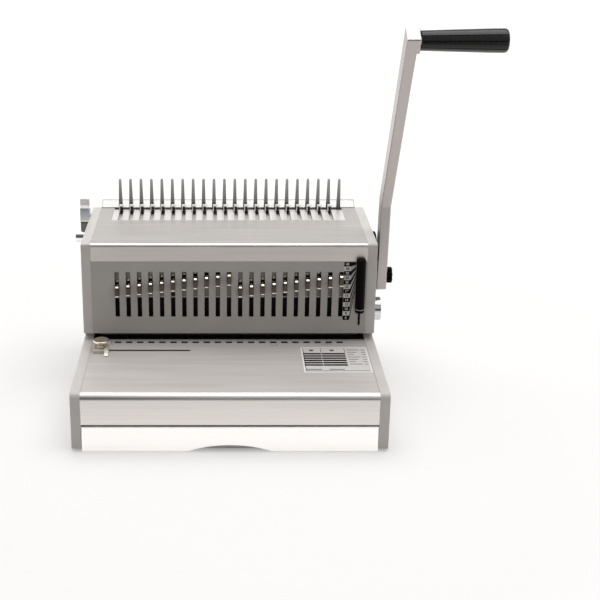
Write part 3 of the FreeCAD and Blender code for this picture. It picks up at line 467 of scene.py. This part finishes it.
def extruded(bm, outline, way):
    """Prism from an outline of points that is carried along a way."""
    face = bm.faces.new([bm.verts.new(p) for p in outline])
    grown = bmesh.ops.extrude_face_region(bm, geom=[face])["geom"]
    bmesh.ops.translate(bm, verts=[g for g in grown if isinstance(g, bmesh.types.BMVert)], vec=way)


for i, (x, z) in enumerate(zip(hole_xs, pull_zs)):
    pull = bmesh.new()
    extruded(pull, [at(x - PULL_WIDTH / 2, y, z + h) for y, h in pull_side], Vector((PULL_WIDTH * MM, 0, 0)))
    for low, high, width in (TOP_EDGES, FOOT_EDGES):
        sides = [e for e in pull.edges if abs(e.verts[0].co.x - e.verts[1].co.x) < TINY
                 and all((z + low) * MM < v.co.z < (z + high) * MM for v in e.verts)]
        rounded(pull, sides, width, 3)
    bmesh.ops.recalc_face_normals(pull, faces=pull.faces)
    # Up-facing faces take the bright nickel, a painted highlight; all others the dark copy, painted shade.
    for face in pull.faces:
        painted_highlight = face.normal.z > HIGHLIGHT_UP and abs(face.normal.x) < HIGHLIGHT_ASIDE
        face.material_index = 0 if painted_highlight else 1
    bmesh.ops.create_cone(pull, cap_ends=True, segments=20, radius1=PIN_RADIUS * MM, radius2=PIN_RADIUS * MM,
                          depth=PIN_LENGTH * MM, matrix=placed(at(x, PIN_Y, z + PULL_HEIGHT / 2), 90, "X"))
    number = f"die_pull_{i + 1:02d}"
    piece(pull, f"finger_pull_{i + 1:02d}", number, [warm_nickel_and_pull_highlight, pull_painted_shade], [number])


# Ram front: above each pull a domed stud of satin nickel stands on the ram over a thin black block
# laid just proud of its face, painted shade in place of a recess. A bright strip runs along the
# ram's lower edge, and a black screw shows under the sixth and the sixteenth pull.
stud_nickel = ground_steel("satin_stud_nickel", "#ece3cd", "#f6eedc", 0.36)
RAM_FRONT, STUD_RISE, STUD_RADIUS, STUD_SHAPE = 7.0, 3.9, 2.2, (1.2, 0.7, 0.9, 1.0)
SHADE_HALF, SHADE_RISE, SHADE_DROP, SHADE_PROUD, BITE = 2.9, 1.6, 5, 0.1, 0.02
studs = bmesh.new()
shade_blocks = bmesh.new()
for x, z in zip(hole_xs, pull_zs):
    top = z + PULL_HEIGHT
    dome = Matrix.Translation(at(x, RAM_FRONT, top + STUD_RISE)) @ Matrix.Diagonal(STUD_SHAPE)
    bmesh.ops.create_uvsphere(studs, u_segments=20, v_segments=12, radius=STUD_RADIUS * MM, matrix=dome)
    block(shade_blocks, at(x - SHADE_HALF, RAM_FRONT - SHADE_PROUD, top - SHADE_DROP),
          at(x + SHADE_HALF, RAM_FRONT + BITE, top + SHADE_RISE))
piece(studs, "ram_studs", "ram", [stud_nickel])
# The thin black blocks are painted shade in place of recesses.
piece(shade_blocks, "ram_painted_shade", "ram", [shade_black])

STRIP_HALF = 150.0
strip_side = [(7.0, 0), (7.0, -1.4), (7.4, -1.8), (8.4, -1.8), (8.8, -1.4), (8.8, 0)]
strip = bmesh.new()
extruded(strip, [at(-STRIP_HALF, y, RAM_BOTTOM + h) for y, h in strip_side],
         Vector((2 * STRIP_HALF * MM, 0, 0)))
piece(strip, "ram_strip", "ram", [bright_steel])

RAM_SCREWS, RAM_SCREW_Z = (5, 15), 134.0
RAM_SCREW_HEAD, RAM_SCREW_DEEP, RAM_SCREW_SHANK = 2.5, 1.3, 4.0
ram_screws = bmesh.new()
for i in RAM_SCREWS:
    place = placed(at(hole_xs[i], RAM_FRONT - RAM_SCREW_DEEP, RAM_SCREW_Z), 90, "X")
    socket_screw(ram_screws, place, RAM_SCREW_HEAD, RAM_SCREW_DEEP, RAM_SCREW_SHANK)
piece(ram_screws, "ram_screw_pair", "ram", [black_oxide])


# Top cover and deck: brushed aluminium sheets. The front one is rolled from a band into the deck.
# Its front-facing faces get a lighter, fully metallic copy of the finish and its top a darker, duller
# one, painted light that makes the band brighter than the top. The seam between the two runs across
# the top, and a thin black strip along the deck's back edge is painted shadow where the deck meets
# the rear cover.
cover_metal = brushed("cover_aluminium_top", "#b0aba7", "#bdb8b4", 0.4, (110, 5, 5), 0.3)
band_painted_bright = brushed("cover_aluminium_painted_bright_band", "#c7c2be", "#d5d0cc", 0.4, (110, 5, 5), 1.0)
cover = eased("top_cover", width_mm=0.25)
# Faces turned to the front take the lighter, fully metallic copy: painted light.
for face in cover.faces:
    face.material_index = 1 if face.normal.y < FRONT_FACING else 0
piece(cover, "rolled_cover", "frame", [cover_metal, band_painted_bright], ["top_cover"])
deck = eased("comb_deck", width_mm=0.3)
piece(deck, "rear_deck", "frame", [cover_metal], ["comb_deck"])

# A black strip along the deck's back edge, in the feet's rubber colour: painted shadow where the deck meets
# the rear cover.
SHADE_STRIP_WIDTH, SHADE_STRIP_RISE, SHADE_STRIP_LIP = 1.4, 0.5, 0.1
shade_strip_side = [(-SHADE_STRIP_WIDTH, -SHADE_STRIP_LIP), (0, -SHADE_STRIP_LIP), (0, SHADE_STRIP_RISE), (-0.6 * SHADE_STRIP_WIDTH, SHADE_STRIP_RISE),
             (-SHADE_STRIP_WIDTH, SHADE_STRIP_LIP)]
deck_low, deck_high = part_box("comb_deck")
shade_strip = bmesh.new()
extruded(shade_strip, [Vector((deck_low.x, deck_high.y + y * MM, deck_high.z + z * MM)) for y, z in shade_strip_side],
         Vector((deck_high.x - deck_low.x, 0, 0)))
piece(shade_strip, "deck_shade_strip", "frame", [rubber_and_seam_shade])


# Comb opener: a bright slotted plate let into the deck, and upright satin steel fingers that hold
# the comb, painted dark at their feet and bright at their tips as painted shade. Dark hooks with pale
# moulded caps, on a sliding carriage, pull the comb's rings open.
bright_plate = brushed("bright_nickel_plate", "#dedad7", "#e8e5e2", 0.35, (60, 4, 4), 0.3)
slotted = eased("comb_plate", width_mm=0.3)
piece(slotted, "slotted_plate", "frame", [bright_plate], ["comb_plate"])

# The fingers are ground upright, in marks drawn 1.5 mm wide. Their colour goes from dark at the feet
# to bright at the tips, painted shade where they stand among the deck and the hooks.
PAINTED_SHADE_FOOT = 205.0
finger_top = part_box("comb_fingers")[1].z
finger_steel, tree, shader = start_material("satin_finger_steel")
level = add(tree, "SeparateXYZ", {"Vector": add(tree, "TexCoord").outputs["Object"]}).outputs["Z"]
painted_shade_fade = add(tree, "MapRange", {"Value": level, "From Min": PAINTED_SHADE_FOOT * MM, "From Max": finger_top})
shade = add(tree, "Mix", {"Factor": painted_shade_fade.outputs["Result"], "A": linear("#524f4d"), "B": linear("#dcdbd9")},
            data_type="RGBA")
spread = add(tree, "MapRange", {"Value": grain(tree, (1.5, 1.5, 30), 4.0), "To Min": 0.3, "To Max": 0.38})
feed(tree, shader, {"Base Color": shade.outputs["Result"], "Metallic": 1.0,
                    "Roughness": spread.outputs["Result"]})
fingers = eased("comb_fingers", width_mm=0.25)
piece(fingers, "finger_row", "frame", [finger_steel], ["comb_fingers"])

dress(bright_plate, "hook_carriage")
hook_steel = ground_steel("dark_hook_steel", "#3b3734", "#4d4844", 0.3)
hooks = eased("comb_hooks", width_mm=0.35)
piece(hooks, "hook_row", "hook_carriage", [hook_steel], ["comb_hooks"])

cap_plastic = moulded("moulded_pale_cap", "#eae7e4", "#f1efec", 0.4, (1.5, 1.5, 1.5), 0.1)
HOOK_SHIFT, HOOK_TOP = 3.45, 211.0
CAP_LEFT, CAP_RIGHT, CAP_THICK, CAP_DROP, CAP_WALL = 3.0, 3.2, 1.8, 5.4, 0.9
CAP_FRONT, CAP_BACK, CAP_FLARE, CAP_EDGE = 145.6, 151.8, 3.6, 0.3
cap_end = [(-CAP_LEFT, -CAP_DROP), (CAP_WALL - CAP_LEFT, -CAP_DROP), (CAP_WALL - CAP_LEFT, BITE),
           (CAP_RIGHT, BITE), (CAP_RIGHT, CAP_THICK), (-CAP_LEFT, CAP_THICK)]
caps = bmesh.new()
for i in range(HOLES):
    x = (i - HOLES / 2) * PITCH + HOOK_SHIFT
    extruded(caps, [at(x + across, CAP_FRONT, HOOK_TOP + up) for across, up in cap_end],
             Vector((0, (CAP_BACK - CAP_FRONT) * MM, 0)))
cap_middle, cap_top = at(0, (CAP_FRONT + CAP_BACK) / 2, 0).y, HOOK_TOP + CAP_THICK
for vert in caps.verts:
    if vert.co.y < cap_middle:
        vert.co.y -= CAP_FLARE * MM * (cap_top - vert.co.z / MM) / (CAP_THICK + CAP_DROP)
rounded(caps, caps.edges[:], CAP_EDGE, 2)
piece(caps, "hook_caps", "hook_carriage", [cap_plastic])


# Comb lever: a dull chrome lever on the left end of the comb shaft, with a pale moulded cap above
# its crease, a bright shelf for the thumb and below that a neck in darker tool steel, painted shade.
lever_plate = plated("dull_chrome_plate", "#dde0e6", "#e6e9ee", (0.12, 0.22), 18)
CREASE, SHELF, SHELF_FOOT, NECK_FOOT = 215.5, 200.6, 196.0, 183.0
lever = eased("comb_lever", width_mm=0.7, segments=3)
for face in lever.faces:
    height = face.calc_center_median().z / MM
    if height > CREASE:
        face.material_index = 1
    # The neck takes the darker tool steel: painted shade.
    elif NECK_FOOT < height < SHELF_FOOT:
        face.material_index = 2
    elif SHELF_FOOT < height < SHELF:
        face.material_index = 3
piece(lever, "thumb_lever", "comb_lever", [lever_plate, cap_plastic, tool_steel_and_neck_shade, chrome],
      ["comb_lever"])


# Rear cover: a pale coated sheet whose upper edge leans back behind the fingers as a rest for
# the comb. The cut edge of that lip is bare, and six black screws hold the sheet along its sides.
pale_coat = powder_coat("pale_powder_coat", "#efedeb", "#f5f3f1", 0.4)
bare_edge = ground_steel("bare_sheet_edge", "#8b8783", "#98948f", 0.45)
EDGE_DEEP, LIP_FOOT = 1.1, 206.0
cover_low, cover_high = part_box("rear_cover")
inner_low = cover_low + Vector((EDGE_DEEP * MM, 0, 0))
inner_high = cover_high - Vector((EDGE_DEEP * MM, 0, EDGE_DEEP * MM))
rear = eased("rear_cover", width_mm=0.4)
for spot, way in ((inner_low, (1, 0, 0)), (inner_high, (1, 0, 0)), (inner_high, (0, 0, 1))):
    whole = rear.verts[:] + rear.edges[:] + rear.faces[:]
    bmesh.ops.bisect_plane(rear, geom=whole, plane_co=spot, plane_no=way)
for face in rear.faces:
    middle = face.calc_center_median()
    at_side = not inner_low.x < middle.x < inner_high.x and middle.z > LIP_FOOT * MM
    face.material_index = 1 if at_side or middle.z > inner_high.z else 0
piece(rear, "rear_sheet", "frame", [pale_coat, bare_edge], ["rear_cover"])

SHEET_BACK, SHEET_SCREW_XS, SHEET_SCREW_ZS = 166.0, (-165.0, 165.0), (20.0, 100.0, 185.0)
SHEET_SCREW_HEAD, SHEET_SCREW_DEEP, SHEET_SCREW_SHANK = 3.6, 1.6, 4.0
cover_screws = bmesh.new()
for x in SHEET_SCREW_XS:
    for z in SHEET_SCREW_ZS:
        place = placed(at(x, SHEET_BACK + SHEET_SCREW_DEEP, z), -90, "X")
        socket_screw(cover_screws, place, SHEET_SCREW_HEAD, SHEET_SCREW_DEEP, SHEET_SCREW_SHANK)
piece(cover_screws, "rear_screw_set", "frame", [black_oxide])


# Waste drawer: a pale moulded tray behind a pale front of brushed aluminium. The lower edge of the
# front is arched up for the fingertips.
tray_plastic = moulded("moulded_pale_abs", "#c9c7c4", "#d3d1ce", 0.5, (1.5, 1.5, 1.5), 0.2)
dress(tray_plastic, "drawer_tray")
drawer_metal = brushed("pale_drawer_aluminium", "#ebe9e7", "#f2f0ee", 0.36, (160, 6, 6), 1.0)
drawer = eased("drawer_front", width_mm=0.3)
piece(drawer, "drawer_face", "drawer", [drawer_metal], ["drawer_front"])


# Punch handle: a bent bar of satin aluminium, brushed along its length, on a black moulded hub. It
# has a fluted black grip on a spindle at its top and a scalloped clamp knob near its foot.
arm_metal = brushed("satin_arm_aluminium", "#a8a29f", "#afa9a6", 0.42, (4, 4, 90), 1.0)
arm = eased("handle_arm", width_mm=2.4, segments=4, shortest_mm=10)
piece(arm, "handle_bar", "handle", [arm_metal], ["handle_arm"], crease=20)

# The nylon is a deep black with little shine. The grip is smoother, and its ridges catch the light.
black_nylon = moulded("moulded_black_nylon", "#090707", "#0f0d0d", 0.45, (1.2, 1.2, 1.2), 0.25, 0.04)
grip_plastic = moulded("satin_black_grip", "#0b0707", "#100b0b", 0.24, (2, 2, 2), 0.1, 0.38)
hub = eased("handle_hub", width_mm=0.8)
piece(hub, "pivot_hub", "handle", [black_nylon], ["handle_hub"])
star = eased("star_knob", width_mm=0.5)
piece(star, "clamp_star", "clamp_knob", [black_nylon], ["star_knob"])

GROOVES, STEPS_PER_GROOVE, GROOVE_DEEP, GROOVE_FROM = 10, 12, 0.7, 10
grip_low, grip_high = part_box("handle_grip")
grip_axis = (grip_low + grip_high) / 2
grip_end = (grip_high.x - grip_low.x) / MM
grip_profile = [(0, 0), (10.8, 0), (11.3, 0.5), (12.3, 35), (13.4, 75), (13.7, grip_end - 5),
                (13.3, grip_end - 2.6), (12.2, grip_end - 1), (10.2, grip_end - 0.2), (8.7, grip_end),
                (0, grip_end)]
grip = bmesh.new()
turned(grip, grip_profile, Vector((grip_low.x, grip_axis.y, grip_axis.z)), (1, 0, 0),
       GROOVES * STEPS_PER_GROOVE)
for vert in grip.verts:
    out = Vector((0, vert.co.y - grip_axis.y, vert.co.z - grip_axis.z))
    turns = math.atan2(out.z, out.y) / (2 * math.pi) * GROOVES
    if out.length > GROOVE_FROM * MM and abs(turns - round(turns)) < 0.5 / STEPS_PER_GROOVE:
        vert.co -= out.normalized() * (GROOVE_DEEP * MM)
piece(grip, "fluted_grip", "handle", [grip_plastic], ["handle_grip"])


# Edge guide: a nickel-plated block with a low fence, brushed from front to back, that slides in the
# table's slot. A conical thumb knob, plated in warm nickel, holds it.
guide_nickel = brushed("satin_nickel_plate", "#c9c5bf", "#d5d1cb", 0.35, (4, 20, 4), 0.5)
stop_block = eased("edge_guide", width_mm=0.4)
piece(stop_block, "side_stop", "edge_guide", [guide_nickel], ["edge_guide"])
thumb_knob = eased("guide_knob", width_mm=0.3)
piece(thumb_knob, "thumb_knob", "guide_knob", [warm_nickel_and_pull_highlight], ["guide_knob"])


# Comb-size selector: a half-round slider of black nylon with a grey moulded ring near its foot. It
# runs in the panel's slot beside a scale of plain numbers, printed in the ink and the film's colour.
slider = eased("size_selector", width_mm=0.3)
piece(slider, "size_slider", "size_selector", [black_nylon], ["size_selector"])

ring_plastic = moulded("moulded_grey_ring", "#9a9591", "#a7a29e", 0.45, (1.5, 1.5, 1.5), 0.1)
SLIDER_X, SLIDER_Y, RING_FOOT, RING_OUTER, RING_INNER, RING_BACK = 167.0, -3.5, 117.4, 6.1, 5.8, -0.4
ring_profile = [(RING_INNER, 0), (RING_OUTER, 0.1), (RING_OUTER, 1.1), (RING_INNER, 1.2), (RING_INNER, 0)]
ring = bmesh.new()
turned(ring, ring_profile, at(SLIDER_X, SLIDER_Y, RING_FOOT), (0, 0, 1))
bmesh.ops.bisect_plane(ring, geom=ring.verts[:] + ring.edges[:] + ring.faces[:],
                       plane_co=at(0, RING_BACK, 0), plane_no=(0, 1, 0), clear_outer=True)
bmesh.ops.holes_fill(ring, edges=[e for e in ring.edges if e.is_boundary])
piece(ring, "slider_ring", "size_selector", [ring_plastic])

SIZES = (45, 38, 32, 28, 25, 22, 19, 16, 14, 12, 10, 8, 6)
SCALE_LEFT, SCALE_RIGHT, SCALE_TOP, SCALE_STEP = 145.9, 154.4, 180.2, 6.05
FAN_TOP, FAN_STEP, FAN_NEAR, FAN_FAR, FAN_END = 178.4, 3.05, 2.9, 1.75, SLIDER_X - RING_OUTER
DIGIT_HEIGHT, DIGIT_WEIGHT = 4.6, 0.12


def numeral(bm, text, x, z):
    """Upright number printed over the scale's boxes, centred at x and z."""
    curve = bpy.data.curves.new("numeral", "FONT")
    curve.body = text
    curve.size = DIGIT_HEIGHT * MM
    curve.offset = DIGIT_WEIGHT * MM
    curve.align_x = "CENTER"
    curve.align_y = "CENTER"
    curve.extrude = INK / 2 * MM
    holder = bpy.data.objects.new("numeral", curve)
    mesh = bpy.data.meshes.new_from_object(holder)
    mesh.transform(placed(at(x, -1.5 * INK, z), 90, "X"))
    bm.from_mesh(mesh)
    bpy.data.objects.remove(holder)
    bpy.data.curves.remove(curve)
    bpy.data.meshes.remove(mesh)


dark_boxes, light_boxes = bmesh.new(), bmesh.new()
dark_digits, light_digits = bmesh.new(), bmesh.new()
for i, size in enumerate(SIZES):
    top = SCALE_TOP - SCALE_STEP * i
    middle = top - SCALE_STEP / 2
    dark = i % 2 == 0
    boxes, digits = (dark_boxes, light_digits) if dark else (light_boxes, dark_digits)
    block(boxes, at(SCALE_LEFT, -INK, top - SCALE_STEP), at(SCALE_RIGHT, 0, top))
    numeral(digits, str(size), (SCALE_LEFT + SCALE_RIGHT) / 2, middle)
    if dark:
        far = FAN_TOP - FAN_STEP * i
        extruded(dark_boxes, [at(SCALE_RIGHT, 0, middle + FAN_NEAR), at(SCALE_RIGHT, 0, middle - FAN_NEAR),
                              at(FAN_END, 0, far - FAN_FAR), at(FAN_END, 0, far + FAN_FAR)],
                 Vector((0, -INK * MM, 0)))
for digits in (dark_digits, light_digits):
    bmesh.ops.remove_doubles(digits, verts=digits.verts, dist=TINY)
piece(dark_boxes, "scale_dark_boxes", "frame", [ink])
piece(light_boxes, "scale_light_boxes", "frame", [film])
piece(dark_digits, "scale_dark_numbers", "frame", [ink])
piece(light_digits, "scale_light_numbers", "frame", [film])


# Margin knob: a smooth knob of turned steel, almost a mirror, pressed on the right end of the shaft
# that moves the paper stop.
knob_steel = ground_steel("turned_knob_steel", "#b8babd", "#c6c8cb", 0.16)
dial = eased("margin_knob", width_mm=0.3)
piece(dial, "margin_dial", "margin_knob", [knob_steel], ["margin_knob"])


# Studio: a white paper floor and a white surround. In reflections the floor is shaded from front to
# back, and both are dark behind the camera, as in a real studio, so that bright metal keeps its
# contrast.
FLOOR_HALF = 8.0
LIFT_FROM, LIFT_TO, LIFT_LOW, LIFT_HIGH = 0.5, 2.2, 0.3, 0.75
SHEEN_FRONT, SHEEN_BACK = -1.0, 1.0
FLOOR_SHEEN = ((-0.75, 0.15), (-0.53, 0.3), (-0.36, 0.22), (-0.285, 0.62), (-0.19, 0.66), (0.15, 0.5),
               (0.6, 1.0))
DARK_FROM, DARK_TO, DARK_LEVEL = -0.85, -1.2, 0.16
WHITE = linear("#ffffff")
floor_mesh = bmesh.new()
bmesh.ops.create_grid(floor_mesh, x_segments=1, y_segments=1, size=FLOOR_HALF)
floor_data = bpy.data.meshes.new("floor")
floor_mesh.to_mesh(floor_data)
floor_mesh.free()
floor = bpy.data.objects.new("floor", floor_data)
bpy.context.scene.collection.objects.link(floor)

# To the camera alone the paper glows, more so away from the object, so that little but the shadow
# is grey.
floor_paper = bpy.data.materials.new("white_paper_sweep")
floor_paper.use_nodes = True
tree = floor_paper.node_tree
tree.nodes.clear()
rays = add(tree, "LightPath").outputs
place = add(tree, "TexCoord").outputs["Object"]
away = add(tree, "VectorMath", {0: place}, operation="LENGTH").outputs["Value"]
whiter = add(tree, "MapRange", {"Value": away, "From Min": LIFT_FROM, "From Max": LIFT_TO,
                                "To Min": LIFT_LOW, "To Max": LIFT_HIGH}).outputs["Result"]
lift = add(tree, "Math", {0: rays["Is Camera Ray"], 1: whiter}, operation="MULTIPLY").outputs[0]
depth = add(tree, "SeparateXYZ", {"Vector": place}).outputs["Y"]
share = add(tree, "MapRange", {"Value": depth, "From Min": SHEEN_FRONT, "From Max": SHEEN_BACK})
ramp = add(tree, "ValToRGB", {"Fac": share.outputs["Result"]})
stops = ramp.color_ramp.elements
while len(stops) < len(FLOOR_SHEEN):
    stops.new(1.0)
for stop, (spot, level) in zip(stops, FLOOR_SHEEN):
    stop.position = (spot - SHEEN_FRONT) / (SHEEN_BACK - SHEEN_FRONT)
    stop.color = (level, level, level, 1.0)
mirrored = add(tree, "Math", {0: rays["Is Glossy Ray"], 1: ramp.outputs["Color"], 2: lift},
               operation="MULTIPLY_ADD").outputs[0]
paper = add(tree, "BsdfDiffuse", {"Color": linear("#d6d4d2")}).outputs[0]
glow = add(tree, "Emission", {"Color": WHITE, "Strength": mirrored}).outputs[0]
both = add(tree, "AddShader", {0: paper, 1: glow}).outputs[0]
gloom = add(tree, "Emission", {"Color": WHITE, "Strength": DARK_LEVEL}).outputs[0]
behind = add(tree, "MapRange", {"Value": depth, "From Min": DARK_FROM, "From Max": DARK_TO}).outputs["Result"]
dim = add(tree, "Math", {0: rays["Is Glossy Ray"], 1: behind}, operation="MULTIPLY").outputs[0]
add(tree, "OutputMaterial", {"Surface": add(tree, "MixShader", {0: dim, 1: both, 2: gloom}).outputs[0]})
floor_data.materials.append(floor_paper)

# The surround is white to the camera, and lights the object softly, less from the camera's side.
LIGHTING = {"From Min": -0.75, "From Max": -0.1, "To Min": 0.12, "To Max": 0.62}
BACKDROP = {"From Min": -0.85, "From Max": -0.45, "To Min": 0.08, "To Max": 1.0}
world = bpy.data.worlds.new("studio")
bpy.context.scene.world = world
world.use_nodes = True
tree = world.node_tree
tree.nodes.clear()
rays = add(tree, "LightPath").outputs
seen = add(tree, "Math", {0: rays["Is Camera Ray"], 1: rays["Is Transmission Ray"]}, operation="MAXIMUM")
way = add(tree, "SeparateXYZ", {"Vector": add(tree, "TexCoord").outputs["Generated"]}).outputs["Y"]
lighting = add(tree, "MapRange", {"Value": way, **LIGHTING}).outputs["Result"]
backdrop = add(tree, "MapRange", {"Value": way, **BACKDROP}).outputs["Result"]
unseen = add(tree, "Mix", {"Factor": rays["Is Glossy Ray"], "A": lighting, "B": backdrop}).outputs["Result"]
strength = add(tree, "Mix", {"Factor": seen.outputs[0], "A": unseen, "B": 1.0}).outputs["Result"]
sky = add(tree, "Background", {"Color": WHITE, "Strength": strength}).outputs[0]
add(tree, "OutputWorld", {"Surface": sky})


# Lamps and camera: a wide soft light overhead and a weak one in front. The camera stands where the
# photograph was taken from, tilted down, and its shift gives the photograph's framing.
def soft_light(name, place, target, size, power):
    lamp = bpy.data.lights.new(name, "AREA")
    lamp.shape = "RECTANGLE"
    lamp.size, lamp.size_y = size
    lamp.energy = power
    holder = bpy.data.objects.new(name, lamp)
    holder.location = place
    holder.rotation_euler = (Vector(target) - Vector(place)).to_track_quat("-Z", "Y").to_euler()
    bpy.context.scene.collection.objects.link(holder)


soft_light("overhead_softbox", place=(0.1, 0.18, 1.9), target=(0, 0, 0.1), size=(2.4, 1.6), power=28.0)
soft_light("front_fill", place=(0.6, -2.2, 1.3), target=(0, 0, 0.15), size=(1.2, 1.2), power=2.5)

CAMERA_SPOT, CAMERA_TILT = (-13.6, -1437.0, 671.0), 19
camera_data = bpy.data.cameras.new("photo_camera")
camera_data.sensor_width = 36.0
camera_data.lens = 72.0
camera_data.shift_x = 0.136
camera_data.shift_y = -0.0583
camera = bpy.data.objects.new("photo_camera", camera_data)
camera.location = at(*CAMERA_SPOT)
camera.rotation_euler = (math.radians(90 - CAMERA_TILT), 0, 0)
bpy.context.scene.collection.objects.link(camera)
bpy.context.scene.camera = camera
bpy.context.scene.view_settings.view_transform = "Standard"
